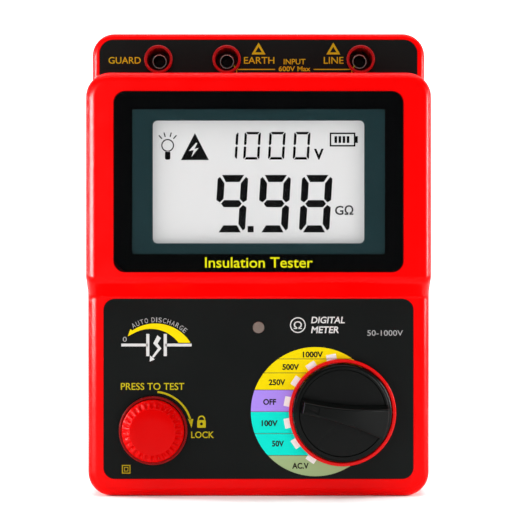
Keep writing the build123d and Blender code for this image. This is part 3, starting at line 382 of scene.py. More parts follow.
def lettering(words, width, height, bold=0.0, slant=0.0):
    """Words as a flat plate, centred, fitted to a width and a height of its tallest letter in mm."""
    text = bpy.data.curves.new("words", "FONT")
    text.body = words
    text.size = 1.0
    text.offset = bold
    text.shear = slant
    text.extrude = 0.5  # a metre thick in all, so that the ink's thickness is its scale
    text.resolution_u = 4
    mesh = tidy_mesh(as_mesh(bpy.data.objects.new("words", text)))
    xs = [v.co.x for v in mesh.vertices]
    ys = [v.co.y for v in mesh.vertices]
    centre = Matrix.Translation((-(min(xs) + max(xs)) / 2, -(min(ys) + max(ys)) / 2, 0))
    across, up = width * MM / (max(xs) - min(xs)), height * MM / (max(ys) - min(ys))
    fitted = Matrix.Diagonal((across, up, INK, 1))
    mesh.transform(fitted @ centre)
    return mesh


def shifted(mesh, x, y, turn=0.0):
    """Moves a flat plate within its drawing, in mm, after turning it."""
    mesh.transform(Matrix.Translation((x * MM, y * MM, 0)) @ Matrix.Rotation(turn, 4, "Z"))
    return mesh


def print_on(name, mesh, height, finish, x=0.0, z=0.0):
    """Sets a flat plate on a face, with its drawing's zero at x, z in mm, and bitten in by a hair."""
    mesh.transform(face_matrix(x * MM, z * MM, height + INK / 2 - BITE))
    piece(name, mesh, finish)


def disc(radius, steps=64, x=0.0, y=0.0):
    turns = [2 * math.pi * i / steps for i in range(steps)]
    return [(x + radius * math.cos(a), y + radius * math.sin(a)) for a in turns]


def arc(radius, start, end, steps=24, x=0.0, y=0.0):
    """Points along an arc; angles in degrees, anticlockwise from the right."""
    angles = [math.radians(start + (end - start) * i / steps) for i in range(steps + 1)]
    return [(x + radius * math.cos(a), y + radius * math.sin(a)) for a in angles]


def rectangle(width, height, x=0.0, y=0.0):
    return [(x + i * width / 2, y + j * height / 2) for i, j in ((-1, -1), (1, -1), (1, 1), (-1, 1))]


def rounded(width, height, radius, x=0.0, y=0.0):
    corners = ((1, 1, 0), (-1, 1, 90), (-1, -1, 180), (1, -1, 270))
    loop = []
    for i, j, start in corners:
        loop += arc(radius, start, start + 90, 6, x + i * (width / 2 - radius), y + j * (height / 2 - radius))
    return loop


def stroke(start, end, width):
    """Straight bar between two points."""
    (x0, y0), (x1, y1) = start, end
    length = math.hypot(x1 - x0, y1 - y0)
    nx, ny = -(y1 - y0) / length * width / 2, (x1 - x0) / length * width / 2
    return [(x0 + nx, y0 + ny), (x0 - nx, y0 - ny), (x1 - nx, y1 - ny), (x1 + nx, y1 + ny)]


def band(radius, start, end, width, steps=24, x=0.0, y=0.0):
    """Bar bent along an arc."""
    outer = arc(radius + width / 2, start, end, steps, x, y)
    inner = arc(radius - width / 2, end, start, steps, x, y)
    return outer + inner


# ---------------------------------------------------------------- repeats by geometry nodes
def new_tree(name, sizes):
    """Node tree with a geometry input, the named sizes and a finish."""
    tree = bpy.data.node_groups.new(name, "GeometryNodeTree")
    tree.interface.new_socket("Geometry", in_out="INPUT", socket_type="NodeSocketGeometry")
    for label, kind in sizes:
        tree.interface.new_socket(label, in_out="INPUT", socket_type=f"NodeSocket{kind}")
    tree.interface.new_socket("Finish", in_out="INPUT", socket_type="NodeSocketMaterial")
    tree.interface.new_socket("Geometry", in_out="OUTPUT", socket_type="NodeSocketGeometry")
    return tree, tree.nodes.new("NodeGroupInput"), tree.nodes.new("NodeGroupOutput")


def sum_of(tree, kind, a, b):
    node = tree.nodes.new("ShaderNodeMath")
    node.operation = kind
    for socket, value in zip(node.inputs, (a, b)):
        if isinstance(value, (int, float)):
            socket.default_value = value
        elif value is not None:
            tree.links.new(value, socket)
    return node.outputs[0]


def close_tree(tree, given, output, geometry):
    """Every tree ends in real geometry with its finish set."""
    real = tree.nodes.new("GeometryNodeRealizeInstances")
    finish = tree.nodes.new("GeometryNodeSetMaterial")
    tree.links.new(geometry, real.inputs[0])
    tree.links.new(real.outputs[0], finish.inputs["Geometry"])
    tree.links.new(given.outputs["Finish"], finish.inputs["Material"])
    tree.links.new(finish.outputs[0], output.inputs[0])
    return tree


def ring_tree():
    """Repeats the given shape around a circle, each copy turned to face outwards."""
    sizes = (("Count", "Int"), ("Radius", "Float"), ("First Angle", "Float"), ("Pitch Angle", "Float"))
    tree, given, output = new_tree("repeat_around", sizes)
    index = tree.nodes.new("GeometryNodeInputIndex")
    travel = sum_of(tree, "MULTIPLY", index.outputs[0], given.outputs["Pitch Angle"])
    angle = sum_of(tree, "ADD", travel, given.outputs["First Angle"])
    across = sum_of(tree, "MULTIPLY", sum_of(tree, "COSINE", angle, None), given.outputs["Radius"])
    up = sum_of(tree, "MULTIPLY", sum_of(tree, "SINE", angle, None), given.outputs["Radius"])
    place = tree.nodes.new("ShaderNodeCombineXYZ")
    turn = tree.nodes.new("ShaderNodeCombineXYZ")
    tree.links.new(across, place.inputs["X"])
    tree.links.new(up, place.inputs["Y"])
    tree.links.new(angle, turn.inputs["Z"])
    points = tree.nodes.new("GeometryNodePoints")
    tree.links.new(given.outputs["Count"], points.inputs["Count"])
    tree.links.new(place.outputs[0], points.inputs["Position"])
    copies = tree.nodes.new("GeometryNodeInstanceOnPoints")
    tree.links.new(points.outputs[0], copies.inputs["Points"])
    tree.links.new(given.outputs["Geometry"], copies.inputs["Instance"])
    tree.links.new(turn.outputs[0], copies.inputs["Rotation"])
    return close_tree(tree, given, output, copies.outputs[0])


def row_tree():
    """Repeats the given shape along a straight row."""
    sizes = (("Count", "Int"), ("Start", "Vector"), ("Step", "Vector"))
    tree, given, output = new_tree("repeat_along", sizes)
    line = tree.nodes.new("GeometryNodeMeshLine")
    line.mode = "OFFSET"
    tree.links.new(given.outputs["Count"], line.inputs["Count"])
    tree.links.new(given.outputs["Start"], line.inputs["Start Location"])
    tree.links.new(given.outputs["Step"], line.inputs["Offset"])
    copies = tree.nodes.new("GeometryNodeInstanceOnPoints")
    tree.links.new(line.outputs[0], copies.inputs["Points"])
    tree.links.new(given.outputs["Geometry"], copies.inputs["Instance"])
    return close_tree(tree, given, output, copies.outputs[0])


def coil_tree():
    """Wire wound into a straight coil that starts at z = 0."""
    sizes = (("Turns", "Float"), ("Coil Radius", "Float"), ("Length", "Float"), ("Wire Radius", "Float"))
    tree, given, output = new_tree("wound_coil", sizes)
    spiral = tree.nodes.new("GeometryNodeCurveSpiral")
    spiral.inputs["Resolution"].default_value = 28
    tree.links.new(given.outputs["Turns"], spiral.inputs["Rotations"])
    tree.links.new(given.outputs["Coil Radius"], spiral.inputs["Start Radius"])
    tree.links.new(given.outputs["Coil Radius"], spiral.inputs["End Radius"])
    tree.links.new(given.outputs["Length"], spiral.inputs["Height"])
    wire = tree.nodes.new("GeometryNodeCurvePrimitiveCircle")
    wire.inputs["Resolution"].default_value = 10
    tree.links.new(given.outputs["Wire Radius"], wire.inputs["Radius"])
    tube = tree.nodes.new("GeometryNodeCurveToMesh")
    tube.inputs["Fill Caps"].default_value = True
    tree.links.new(spiral.outputs[0], tube.inputs["Curve"])
    tree.links.new(wire.outputs[0], tube.inputs["Profile Curve"])
    return close_tree(tree, given, output, tube.outputs[0])


repeat_around = ring_tree()
repeat_along = row_tree()
wound_coil = coil_tree()


def grown(tree, finish, shape=None, **sizes):
    """Runs a tree on a shape and returns the plain mesh."""
    base = shape or bpy.data.meshes.new("empty")
    holder = bpy.data.objects.new("grown", base)
    modifier = holder.modifiers.new("grown", "NODES")
    modifier.node_group = tree
    wanted = {label.replace("_", " "): value for label, value in sizes.items()}
    for socket in tree.interface.items_tree:
        if socket.in_out == "INPUT" and socket.name in wanted:
            modifier[socket.identifier] = wanted[socket.name]
        if socket.in_out == "INPUT" and socket.name == "Finish":
            modifier[socket.identifier] = finish
    return as_mesh(holder)


# ---------------------------------------------------------------- inks
def ink(name, colour, darker=0.95):
    """Printed ink: flat colour with a slight drift and a fine screen-print grain."""
    return moulded(name, colour, 0.5, 0.05, 0.3, 0.004, darker)


ink_white = ink("ink_white", (0.68, 0.68, 0.67))
ink_grey = ink("ink_grey_white", (0.42, 0.42, 0.42), 0.9)
ink_yellow = ink("ink_yellow", (0.89, 0.7, 0.001))
ink_title = ink("ink_title_yellow", (0.74, 0.72, 0.005))
ink_gold = ink("ink_gold", (0.52, 0.37, 0.008), 0.85)
ink_lemon = ink("ink_lemon", (0.56, 0.46, 0.01), 0.88)
ink_purple = ink("ink_purple", (0.41, 0.26, 0.86))
ink_turquoise = ink("ink_turquoise", (0.004, 0.8, 0.65))
ink_sage = ink("ink_sage", (0.36, 0.48, 0.235))
ink_dark = ink("ink_dark", (0.02, 0.018, 0.01), 0.8)
ink_divider = ink("ink_divider", (0.11, 0.1, 0.03), 0.85)
mark_white = ink("mark_white", (0.88, 0.88, 0.86))
segment_black = ink("segment_black", (0.002, 0.002, 0.002), 0.8)
unit_grey = ink("unit_grey", (0.06, 0.06, 0.06), 0.9)


# ---------------------------------------------------------------- display
SEGMENTS = {"0": "abcdef", "1": "bc", "8": "abcdefg", "9": "abcdfg"}


def digit(figure, x, y, width, height, bar):
    """Outlines of a seven-segment figure with mitred bars, leaning a little to the right."""
    lean = 0.06
    gap = 0.09 * bar
    shoulder, tip, tip_drop = 0.55 * bar, 0.32 * bar, 0.18 * bar
    middle_y = height / 2
    half = bar / 2
    left_upper = [
        (0, height - shoulder),
        (tip, height - tip_drop - gap),
        (bar, height - bar - 2 * gap),
        (bar, middle_y + half + 2 * gap),
        (half, middle_y + 2 * gap),
        (0, middle_y + half),
    ]
    right_upper = [(width - px, py) for px, py in left_upper]
    left_lower = [(px, height - py) for px, py in left_upper]
    right_lower = [(width - px, height - py) for px, py in left_upper]
    top = [
        (half + gap, height),
        (width - half - gap, height),
        (width - bar - 2 * gap, height - bar),
        (bar + 2 * gap, height - bar),
    ]
    bottom = [(px, height - py) for px, py in top]
    across = [
        (half + 2 * gap, middle_y),
        (bar + gap, middle_y + half),
        (width - bar - gap, middle_y + half),
        (width - half - 2 * gap, middle_y),
        (width - bar - gap, middle_y - half),
        (bar + gap, middle_y - half),
    ]
    shapes = dict(a=top, b=right_upper, c=right_lower, d=bottom, e=left_lower, f=left_upper, g=across)
    loops = [shapes[segment] for segment in SEGMENTS[figure]]
    return [[(x + px + (py - middle_y) * lean, y + py) for px, py in loop] for loop in loops]


def reading():
    """Everything that the display shows."""
    big_bottom, big_size = 114.2, (13.1, 24.7, 3.05)
    loops = []
    for figure, x in (("9", -18.2), ("9", 0.15), ("8", 18.0)):
        loops += digit(figure, x, big_bottom, *big_size)
    point_width, point_height, point_x = 2.6, 2.7, -3.4
    loops += [rectangle(point_width, point_height, point_x, big_bottom + 1.4)]
    big = cut_outline(loops)
    small_bottom, small_size = 145.5, (7.0, 11.9, 1.08)
    loops = []
    for figure, x in (("1", -15.9), ("0", -6.3), ("0", 4.35), ("0", 15.0)):
        loops += digit(figure, x, small_bottom, *small_size)
    small = cut_outline(loops)
    volt = shifted(lettering("V", 4.2, 4.7, bold=0.035), 25.9, 147.8)
    figures = joined([big, small, volt])
    print_on("display_reading", figures, lcd_height, segment_black)
    unit = lettering("GΩ", 7.9, 4.2, bold=0.02)
    print_on("display_unit", unit, lcd_height, unit_grey, 36.8, 123.8)


def lamp_outlines():
    x, z, radius, line = -39.05, 151.6, 2.75, 0.5
    base_width, base_height, base_round, base_drop = 2.3, 3.6, 0.7, 1.6
    ray_start, ray_end = radius + 1.0, radius + 3.0
    loops = [disc(radius, 40, x, z), disc(radius - line, 40, x, z)]
    loops += [rounded(base_width, base_height, base_round, x, z - radius - base_drop)]
    for bearing in (131, 106, 74, 49):
        ray = math.radians(bearing)
        ends = [(x + reach * math.cos(ray), z + reach * math.sin(ray)) for reach in (ray_start, ray_end)]
        loops += [stroke(*ends, line)]
    return loops


def voltage_outlines():
    x, z, half, height = -27.35, 145.3, 6, 11.6
    bolt = [(0.4, 7.4), (-2.6, 3.9), (-0.5, 4.3), (-1.5, 1.3), (1.6, 5.2), (-0.2, 4.8), (1.1, 7.3)]
    return [[(x - half, z), (x + half, z), (x, z + height)], [(x + px, z + py) for px, py in bolt]]


def display_signs():
    """Lamp, high-voltage sign and charge sign along the top of the display."""
    x, z, width, height, line = 36.1, 154.1, 11.0, 6.0, 0.65
    cell = [rectangle(width, height, x, z), rectangle(width - 2 * line, height - 2 * line, x, z)]
    bar_width, bar_height, bar_pitch, first_bar = 1.15, 2.9, 1.75, -2.9
    nub_width, nub_reach = 1.1, 0.5
    nub = rectangle(nub_width, bar_height, x + width / 2 + nub_reach, z)
    parts = [cut_outline(loops) for loops in (lamp_outlines(), voltage_outlines(), cell, [nub])]
    bars = grown(
        repeat_along,
        segment_black,
        cut_outline([rectangle(bar_width, bar_height)]),
        Count=4,
        Start=Vector((x + first_bar, z, 0)) * MM,
        Step=Vector((bar_pitch, 0, 0)) * MM,
    )
    print_on("display_signs", joined(parts + [bars]), lcd_height, segment_black)


def title():
    words = lettering("Insulation Tester", 46.0, 4.5, bold=0.008)
    print_on("title_legend", words, pane_height, ink_title, 0.15, 101.3)


reading()
display_signs()
title()


# ---------------------------------------------------------------- terminal strip
def terminal_legends():
    names_z, names_height = 190.2, 2.95
    for words, width, x in (("GUARD", 14.2, -58.9), ("EARTH", 13.4, 0.3), ("LINE", 8.7, 33.1)):
        letters = lettering(words, width, names_height, bold=0.006)
        print_on(f"{words.lower()}_legend", letters, strip_height, ink_gold, x, names_z)
    limit_x, limit_z, line_pitch = 15.9, 186.5, 3.1
    upper = shifted(lettering("INPUT", 9.6, 2.4, bold=0.01), 0, line_pitch)
    lower = lettering("600V Max", 14.0, 2.2, bold=0.018)
    print_on("limit_legend", joined([upper, lower]), strip_height, ink_gold, limit_x, limit_z)


def bracket_lines():
    """Line from each side of the limit to the socket that it holds for."""
    line, bend, level = 0.42, 2.6, 186.2
    foot_inset, foot_rise, foot_drop = 1.3, 0.7, 2.2
    loops = []
    for side, outer, inner, sweep_end in ((-1, -10.9, 7.3, 200), (1, 42.4, 24.3, 340)):
        corner = outer - side * bend
        loops.append(stroke((inner, level), (corner, level), line))
        loops.append(band(bend, 270, sweep_end, line, 12, corner, level + bend))
        foot = outer - side * foot_inset
        loops.append(stroke((foot, level + foot_rise), (foot, level - foot_drop), line))
    print_on("bracket_lines", joined([cut_outline([loop]) for loop in loops]), strip_height, ink_gold)


def caution_signs():
    half, foot_z, top_z = 3.05, 192.8, 198.0
    inner_half, inner_foot_z, inner_top_z = 1.5, 193.7, 196.2
    loops = []
    for x in (0.05, 32.95):
        loops.append([(x - half, foot_z), (x + half, foot_z), (x, top_z)])
        loops.append([(x - inner_half, inner_foot_z), (x + inner_half, inner_foot_z), (x, inner_top_z)])
    print_on("caution_signs", cut_outline(loops), strip_height, ink_gold)


terminal_legends()
bracket_lines()
caution_signs()


# ---------------------------------------------------------------- range dial
def dial_slice(radius, low, top):
    """Outline of the part of a disc between two levels."""
    start = math.degrees(math.asin(max(-1, low / radius)))
    end = math.degrees(math.asin(min(1, top / radius)))
    if top >= radius:
        return arc(radius, start, 180 - start, 60)
    if low <= -radius:
        return arc(radius, 180 - end, 360 + end, 60)
    return arc(radius, start, end, 20) + arc(radius, 180 - end, 180 - start, 20)


def dial():
    x, z, radius, line = 24.6, 36.8, 27.9, 0.24
    edges = [radius, 9.4, -0.05, -18.95, -radius]
    names = ("dial_yellow", "dial_purple", "dial_turquoise", "dial_sage")
    fills = (ink_yellow, ink_purple, ink_turquoise, ink_sage)
    for name, fill, top, low in zip(names, fills, edges, edges[1:]):
        print_on(name, cut_outline([dial_slice(radius, low, top)]), deck_height, fill, x, z)
    over = deck_height + INK / 2
    levels = (22.8, 16.75, -9.5, 9.4, -0.05, -18.95)
    lines = [rectangle(2 * math.sqrt(radius**2 - level**2), line, 0, level) for level in levels]
    print_on("dial_dividers", cut_outline(lines), over, ink_divider, x, z)
    # words, their middle and their width
    places = {
        "1000V": (23.5, 61.5, 8.7),
        "500V": (13.9, 56.1, 7.2),
        "250V": (8.0, 49.5, 7.2),
        "OFF": (4.8, 41.0, 5.6),
        "100V": (4.8, 31.8, 7.0),
        "50V": (8.4, 23.0, 5.2),
        "AC.V": (18.1, 13.4, 7.2),
    }
    for words, (word_x, word_z, width) in places.items():
        name = f"dial_{words.lower().replace('.', '_')}"
        print_on(name, lettering(words, width, 2.6, bold=0.035), over, ink_dark, word_x, word_z)


def dial_marks():
    """White mark at each position of the selector."""
    pitch, first, reach = math.radians(22.5), math.radians(101.25), 23.3
    width, height, corner = 4.4, 4.3, 0.25
    marks = grown(
        repeat_around,
        mark_white,
        cut_outline([rounded(width, height, corner)]),
        Count=7,
        Radius=reach * MM,
        First_Angle=first,
        Pitch_Angle=pitch,
    )
    x, z = selector_centre.x / MM, selector_centre.z / MM
    print_on("dial_marks", marks, deck_height + INK / 2, mark_white, x, z)


dial()
dial_marks()


# ---------------------------------------------------------------- discharge sign, button and other legends
def circle_through(a, b, c):
    """Centre and radius of the circle through three points."""
    ax, ay, bx, by, cx, cy = *a, *b, *c
    d = 2 * (ax * (by - cy) + bx * (cy - ay) + cx * (ay - by))
    a2, b2, c2 = ax * ax + ay * ay, bx * bx + by * by, cx * cx + cy * cy
    x = (a2 * (by - cy) + b2 * (cy - ay) + c2 * (ay - by)) / d
    y = (a2 * (cx - bx) + b2 * (ax - cx) + c2 * (bx - ax)) / d
    return x, y, math.hypot(ax - x, ay - y)


def arc_through(a, b, c, steps=28):
    """Points from a to c along the arc through b."""
    x, y, radius = circle_through(a, b, c)
    start, end = (math.degrees(math.atan2(p[1] - y, p[0] - x)) for p in (a, c))
    return arc(radius, start, end, steps, x, y)


def discharge_sign():
    """Two plates on a line with a bolt between them, under a swept arrow."""
    line_z, line, left, right = 65.6, 1.2, -59.3, -28.9
    plate_left, plate_right, plate, plate_low, plate_high = -47.85, -40.3, 1.35, 60.8, 70.4
    wires = [
        rectangle(plate_left - left, line, (left + plate_left) / 2, line_z),
        rectangle(right - plate_right, line, (plate_right + right) / 2, line_z),
    ]
    plates = grown(
        repeat_along,
        ink_white,
        cut_outline([rectangle(plate, plate_high - plate_low)]),
        Count=2,
        Start=Vector((plate_left, (plate_low + plate_high) / 2, 0)) * MM,
        Step=Vector((plate_right - plate_left, 0, 0)) * MM,
    )
    bolt = [
        (-43.7, 69.8),
        (-42.2, 68.6),
        (-43.6, 66.2),
        (-42.0, 64.1),
        (-45.3, 60.1),
        (-46.0, 60.6),
        (-43.5, 64.1),
        (-45.5, 66.3),
    ]
    bolt_tip = [(-47.0, 58.4), (-46.9, 61.1), (-44.8, 59.4)]
    sign = joined([cut_outline(wires), plates, cut_outline([bolt]), cut_outline([bolt_tip])])
    print_on("discharge_sign", sign, deck_height, ink_white)
    outer = arc_through((-54.5, 71.9), (-43.6, 74.9), (-29.4, 66.6))
    inner = arc_through((-34.6, 66.6), (-44.2, 72.4), (-54.2, 70.5))
    head = [(-56.5, 69.4), (-55.4, 72.5)]
    print_on("discharge_arrow", cut_outline([outer + inner + head]), deck_height, ink_yellow)


def discharge_words():
    """Words bent along an arc, each letter with the room that it needs, and the zero at its end."""
    words = "AUTO DISCHARGE"
    room = {"I": 0.55, " ": 0.5}
    letter_height, letter_width, narrow_width = 2.1, 1.4, 0.45
    start, top, end = (-54.0, 74.0), (-42.6, 76.4), (-31.8, 71.9)
    x, z, radius = circle_through(start, top, end)
    first = math.atan2(start[1] - z, start[0] - x)
    last = math.atan2(end[1] - z, end[0] - x)
    steps = [room.get(letter, 1.0) for letter in words]
    whole = sum(steps) - (steps[0] + steps[-1]) / 2
    letters = []
    passed = -steps[0] / 2
    for letter, step in zip(words, steps):
        bearing = first + (last - first) * (passed + step / 2) / whole
        passed += step
        if letter == " ":
            continue
        flat = lettering(letter, narrow_width if letter == "I" else letter_width, letter_height)
        spot_x, spot_z = x + radius * math.cos(bearing), z + radius * math.sin(bearing)
        letters.append(shifted(flat, spot_x, spot_z, bearing - math.pi / 2))
    print_on("discharge_words", joined(letters), deck_height, ink_grey)
    print_on("discharge_zero", lettering("0", 1.7, letter_height), deck_height, ink_grey, -57.8, 68.1)


def button_legends():
    words = lettering("PRESS TO TEST", 27.4, 3.05, bold=0.008)
    print_on("press_legend", words, deck_height, ink_lemon, -45.8, 47.7)
    x, z = button_centre.x / MM, button_centre.z / MM
    sweep_radius, line, sweep_start, sweep_end, head_bearing = 16.6, 0.85, 84, 15, 17
    head_left, head_right, head_tip, head_length = 0.95, 1.35, 0.55, 3.9
    sweep = band(sweep_radius, sweep_start, sweep_end, line, 32, x, z)
    at_x, at_z = arc(sweep_radius, head_bearing, head_bearing, 1, x, z)[0]
    head = [(at_x - head_left, at_z), (at_x + head_right, at_z), (at_x + head_tip, at_z - head_length)]
    arrow = joined([cut_outline([sweep]), cut_outline([head])])
    print_on("turn_arrow", arrow, deck_height, ink_lemon)


def lock_legends():
    x, z = -24.65, 31.5
    body_width, body_height, body_corner, keyhole = 3.7, 3.3, 0.4, 0.62
    shackle_radius, shackle_line, shackle_rise = 1.35, 0.55, 2.0
    leg_height, leg_rise = 0.6, 1.8
    body = [rounded(body_width, body_height, body_corner, x, z), disc(keyhole, 20, x, z)]
    loops = [band(shackle_radius, 0, 180, shackle_line, 16, x, z + shackle_rise)]
    for side in (-1, 1):
        loops.append(rectangle(shackle_line, leg_height, x + side * shackle_radius, z + leg_rise))
    lock = joined([cut_outline([loop]) for loop in loops] + [cut_outline(body)])
    print_on("lock_sign", lock, deck_height, ink_lemon)
    word = lettering("LOCK", 9.8, 2.85, bold=0.01)
    print_on("lock_legend", word, deck_height, ink_lemon, -24.2, 26.8)


def corner_legends():
    square_x, square_z, side, line = -57.2, 11.9, 3.7, 0.4
    sides = (side, side - 2 * line, side / 2, side / 2 - 1.4 * line)
    nest = [rectangle(length, length, square_x, square_z) for length in sides]
    print_on("insulated_sign", cut_outline(nest), deck_height, ink_gold)
    mark_x, mark_z, radius, ring_line = 17.0, 74.2, 3.4, 0.45
    ring = cut_outline([disc(radius, 48, mark_x, mark_z), disc(radius - ring_line, 48, mark_x, mark_z)])
    ohm = shifted(lettering("Ω", 3.5, 3.3, bold=0.01), mark_x, mark_z)
    upper = shifted(lettering("DIGITAL", 14.6, 2.9, bold=0.02, slant=0.15), 30.0, 76.4)
    lower = shifted(lettering("METER", 12.0, 2.9, bold=0.02, slant=0.15), 28.7, 72.2)
    print_on("kind_legend", joined([ring, ohm, upper, lower]), deck_height, ink_white)
    span = lettering("50-1000V", 15.4, 2.4)
    print_on("span_legend", span, deck_height, ink_grey, 54.7, 70.8)


discharge_sign()
discharge_words()
button_legends()
lock_legends()
corner_legends()


# ---------------------------------------------------------------- turned pieces
def turned(profile, steps, flute=None):
    """Closed solid of revolution about the drawing's z axis, from (radius, height) points.

    flute(angle, radius, height) gives a new (radius, height) for a point, for ribs and flutes."""
    shape = bmesh.new()
    rings = []
    for radius, height in profile:
        if radius == 0:
            rings.append([shape.verts.new((0, 0, height))])
            continue
        ring = []
        for step in range(steps):
            angle = 2 * math.pi * step / steps
            r, h = flute(angle, radius, height) if flute else (radius, height)
            ring.append(shape.verts.new((r * math.cos(angle), r * math.sin(angle), h)))
        rings.append(ring)
    for lower, upper in zip(rings, rings[1:]):
        for step in range(steps):
            after = step + 1
            corners = [lower[step % len(lower)], lower[after % len(lower)]]
            corners += [upper[after % len(upper)], upper[step % len(upper)]]
            face = list(dict.fromkeys(corners))
            if len(face) > 2:
                shape.faces.new(face)
    if len(rings[0]) > 1:
        for step in range(steps):
            after = (step + 1) % steps
            shape.faces.new([rings[-1][step], rings[-1][after], rings[0][after], rings[0][step]])
    bmesh.ops.recalc_face_normals(shape, faces=shape.faces)
    mesh = bpy.data.meshes.new("turned")
    shape.to_mesh(mesh)
    shape.free()
    return mesh


def in_metres(profile):
    return [(radius * MM, height * MM) for radius, height in profile]


def sockets():
    """Plated rim of each socket, the black sleeve inside it with a closed black floor that is painted shade
    at the bottom of the bore, and its solid tail.
    """
    rim_depth, foot_depth, shade_floor_depth, bore = 8.0, 14.0, 7.6, 1.95
    for name in ("guard", "earth", "line"):
        low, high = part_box(f"{name}_contact")
        centre = (low + high) / 2
        outer = (high.x - low.x) / 2 / MM
        place = face_matrix(centre.x, centre.z, height_of(low.y))
        rounding = [(0.2, -0.1), (0.45, 0.0), (0.7, -0.15), (0.8, -0.6), (0.8, -rim_depth)]
        tube = [(outer, -rim_depth), (outer, -0.35)] + [(outer - inset, z) for inset, z in rounding]
        rim = turned(in_metres(tube), 72)
        rim.transform(place)
        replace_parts(piece(f"{name}_contact_rim", rim, nickel, smooth=True), f"{name}_contact")
        sleeve = outer - 0.78
        # painted shade: the sleeve's closed black floor covers the metal tail, so the bottom of the bore
        # shows dark as shade would make it
        cup = [(0, -rim_depth), (sleeve, -rim_depth), (sleeve, -1.0), (bore, -3.0)]
        cup += [(bore, -shade_floor_depth), (0, -shade_floor_depth)]
        lining = turned(in_metres(cup), 72)
        lining.transform(place)
        piece(f"{name}_contact_lining_shade_floor", lining, black_part)
        tail = outer - 0.1
        tail_profile = [(0, -foot_depth), (tail, -foot_depth), (tail, -rim_depth), (0, -rim_depth)]
        plug = turned(in_metres(tail_profile), 48)
        plug.transform(place)
        piece(f"{name}_contact_tail", plug, nickel)


def fluted_cap():
    """Test button: flat face and a conical rim with a ring of scooped flutes."""
    low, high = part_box("button_cap")
    radius = (high.x - low.x) / 2
    depth = high.y - low.y
    face, bevel, flutes, steps_per_flute = radius - 3.6 * MM, 3.4 * MM, 28, 16
    scoop_depth, inward_share, sharpness = 0.75 * MM, 0.35, 1.6
    rim_steps, edge, face_drop = 12, 0.25 * MM, 0.08 * MM
    wall, roof = 1.8 * MM, 1.8 * MM

    def scoop(angle, r, h):
        along = (r - face) / (radius - face)
        if along <= 0.02:
            return r, h
        wave = (0.5 + 0.5 * math.cos(flutes * angle)) ** sharpness
        lengthwise = math.sin(math.pi * min(1, along * 1.15) ** 0.8) if along < 0.87 else 0.25
        deep = scoop_depth * wave * lengthwise
        return r - inward_share * deep, h - deep

    profile = [(0, 0.0), (face / 2, 0.0), (face - 0.3 * MM, 0.0), (face, -face_drop)]
    for k in range(1, rim_steps + 1):
        share = k / rim_steps
        profile.append((face + (radius - edge - face) * share, -face_drop - bevel * share))
    profile += [(radius, -bevel - 0.5 * MM), (radius, -depth), (radius - wall, -depth)]
    profile += [(radius - wall, -bevel - 1.4 * MM), (face - 0.9 * MM, -roof), (0, -roof)]
    cap = turned(profile, flutes * steps_per_flute, scoop)
    cap.transform(face_matrix(button_centre.x, button_centre.z, height_of(low.y)))
    made = piece("fluted_cap", cap, cap_red, body="test_cap", smooth=True)
    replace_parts(made, "button_cap")


def return_spring():
    """Coil that pushes the test button out."""
    low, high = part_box("button_spring")
    wire = 0.45 * MM
    sizes = dict(Turns=6.0, Coil_Radius=(high.x - low.x) / 2 - wire, Length=high.y - low.y - 2 * wire)
    mesh = grown(wound_coil, steel, **sizes, Wire_Radius=wire)
    mesh.transform(face_matrix(button_centre.x, button_centre.z, height_of(high.y) + wire))
    coil = piece("return_spring", mesh, steel, smooth=True)
    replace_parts(coil, "button_spring")
    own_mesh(coil)


sockets()
fluted_cap()
return_spring()


# ---------------------------------------------------------------- studio and camera
def studio_finish(name, colour, rough):
    material, tree, shader, place = new_finish(name)
    shader.inputs["Specular IOR Level"].default_value = 0.1
    vary_colour(tree, shader, noise(tree, place, 3, 2), colour, 0.99)
    shader.inputs["Roughness"].default_value = rough
    return material


def sweep_backdrop():
    """Floor that curves up into a wall behind the tester."""
    floor_front, floor_depth, wall_height, bend, half_width, steps = -2.5, 1.3, 2.2, 0.5, 3.0, 16
    profile = [(floor_front, 0.0), (floor_depth - bend, 0.0)]
    for step in range(1, steps + 1):
        angle = math.pi / 2 * step / steps
        profile.append((floor_depth - bend + bend * math.sin(angle), bend - bend * math.cos(angle)))
    profile.append((floor_depth, wall_height))
    mesh = bpy.data.meshes.new("backdrop")
    points = [(side * half_width, y, z) for y, z in profile for side in (-1, 1)]
    faces = [(2 * i, 2 * i + 1, 2 * i + 3, 2 * i + 2) for i in range(len(profile) - 1)]
    mesh.from_pydata(points, [], faces)
    mesh.shade_smooth()
    backdrop = bpy.data.objects.new("backdrop", mesh)
    bpy.context.scene.collection.objects.link(backdrop)
    mesh.materials.append(studio_finish("studio_paper", (0.93, 0.93, 0.93), 0.8))


def softbox(name, place, aim, width, height, power):
    light = bpy.data.lights.new(name, "AREA")
    light.shape = "RECTANGLE"
    light.size = width
    light.size_y = height
    light.energy = power
    lamp = bpy.data.objects.new(name, light)
    lamp.location = place
    lamp.rotation_euler = (Vector(aim) - Vector(place)).to_track_quat("-Z", "Y").to_euler()
    lamp.visible_camera = False
    bpy.context.scene.collection.objects.link(lamp)
    return lamp


def sheen(lamp, parts):
    """Keep a lamp to the soft gloss that it gives to some parts."""
    lamp.visible_diffuse = False
    lamp.light_linking.receiver_collection = parts


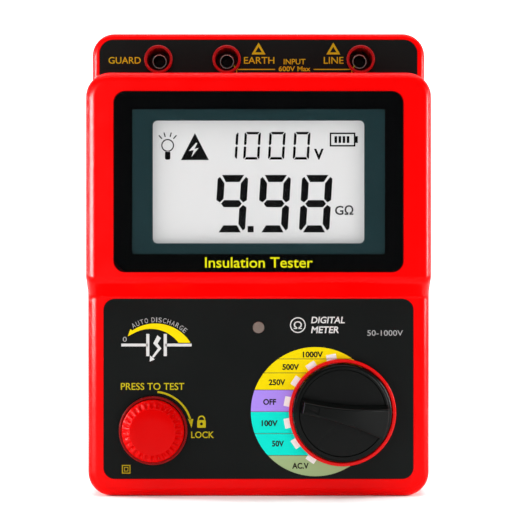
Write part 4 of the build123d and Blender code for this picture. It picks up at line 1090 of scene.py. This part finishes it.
def studio_air():
    """Dim even light from all round, a little brighter where it is seen itself."""
    world = bpy.data.worlds.new("studio_air")
    world.use_nodes = True
    tree = world.node_tree
    tree.nodes["Background"].inputs["Color"].default_value = (1, 1, 1, 1)
    seen = tree.nodes.new("ShaderNodeLightPath")
    strength = tree.nodes.new("ShaderNodeMapRange")
    strength.inputs["To Min"].default_value = 0.28
    strength.inputs["To Max"].default_value = 0.4
    tree.links.new(seen.outputs["Is Camera Ray"], strength.inputs["Value"])
    tree.links.new(strength.outputs["Result"], tree.nodes["Background"].inputs["Strength"])
    bpy.context.scene.world = world


def parts_lit(name, nodes_lit):
    parts = bpy.data.collections.new(name)
    for node in nodes_lit:
        parts.objects.link(nodes[node])
    return parts


def studio():
    sweep_backdrop()
    studio_air()
    target = (0, 0, 0.1)
    # name, place, what it is aimed at, width, height, power
    softbox("left_box", (-0.95, -0.5, 0.4), target, 0.5, 0.6, 3)
    softbox("right_box", (0.95, -0.5, 0.4), target, 0.5, 0.6, 2.7)
    softbox("left_strip", (-0.55, 0.05, 0.2), target, 0.08, 0.3, 3)
    softbox("right_strip", (0.55, 0.05, 0.2), target, 0.08, 0.3, 3)
    knob_parts = parts_lit("knob_parts", ["selector_knob"])
    sheen(softbox("knob_sheen", (0.42, -1.1, 0.06), target, 0.3, 0.3, 6), knob_parts)
    case_parts = parts_lit("case_parts", ["front_case", "rear_case"])
    sheen(softbox("left_sheen", (-0.74, -0.7, 0.18), target, 0.8, 0.3, 115), case_parts)
    sheen(softbox("right_sheen", (0.94, -0.34, 0.18), target, 0.3, 0.3, 30), case_parts)
    softbox("top_box", (0, -0.5, 1.25), target, 1.0, 0.5, 5.5)
    softbox("backdrop_box", (0, 0.2, 1.6), (0, 1.2, 0.3), 2.2, 0.8, 32)


def camera():
    distance, reference_height, centre_x, centre_z = 0.700, 63 * MM, -1.52 * MM, 104.5 * MM
    view_width, sensor_width = 222.0 * MM, 36
    lens = bpy.data.cameras.new("view")
    lens.sensor_width = sensor_width
    lens.lens = sensor_width * distance / view_width
    viewer = bpy.data.objects.new("view", lens)
    viewer.location = (centre_x, back_y - reference_height - distance, centre_z)
    viewer.rotation_euler = (math.pi / 2, 0, 0)
    bpy.context.scene.collection.objects.link(viewer)
    bpy.context.scene.camera = viewer
    bpy.context.scene.view_settings.view_transform = "Standard"


studio()
camera()
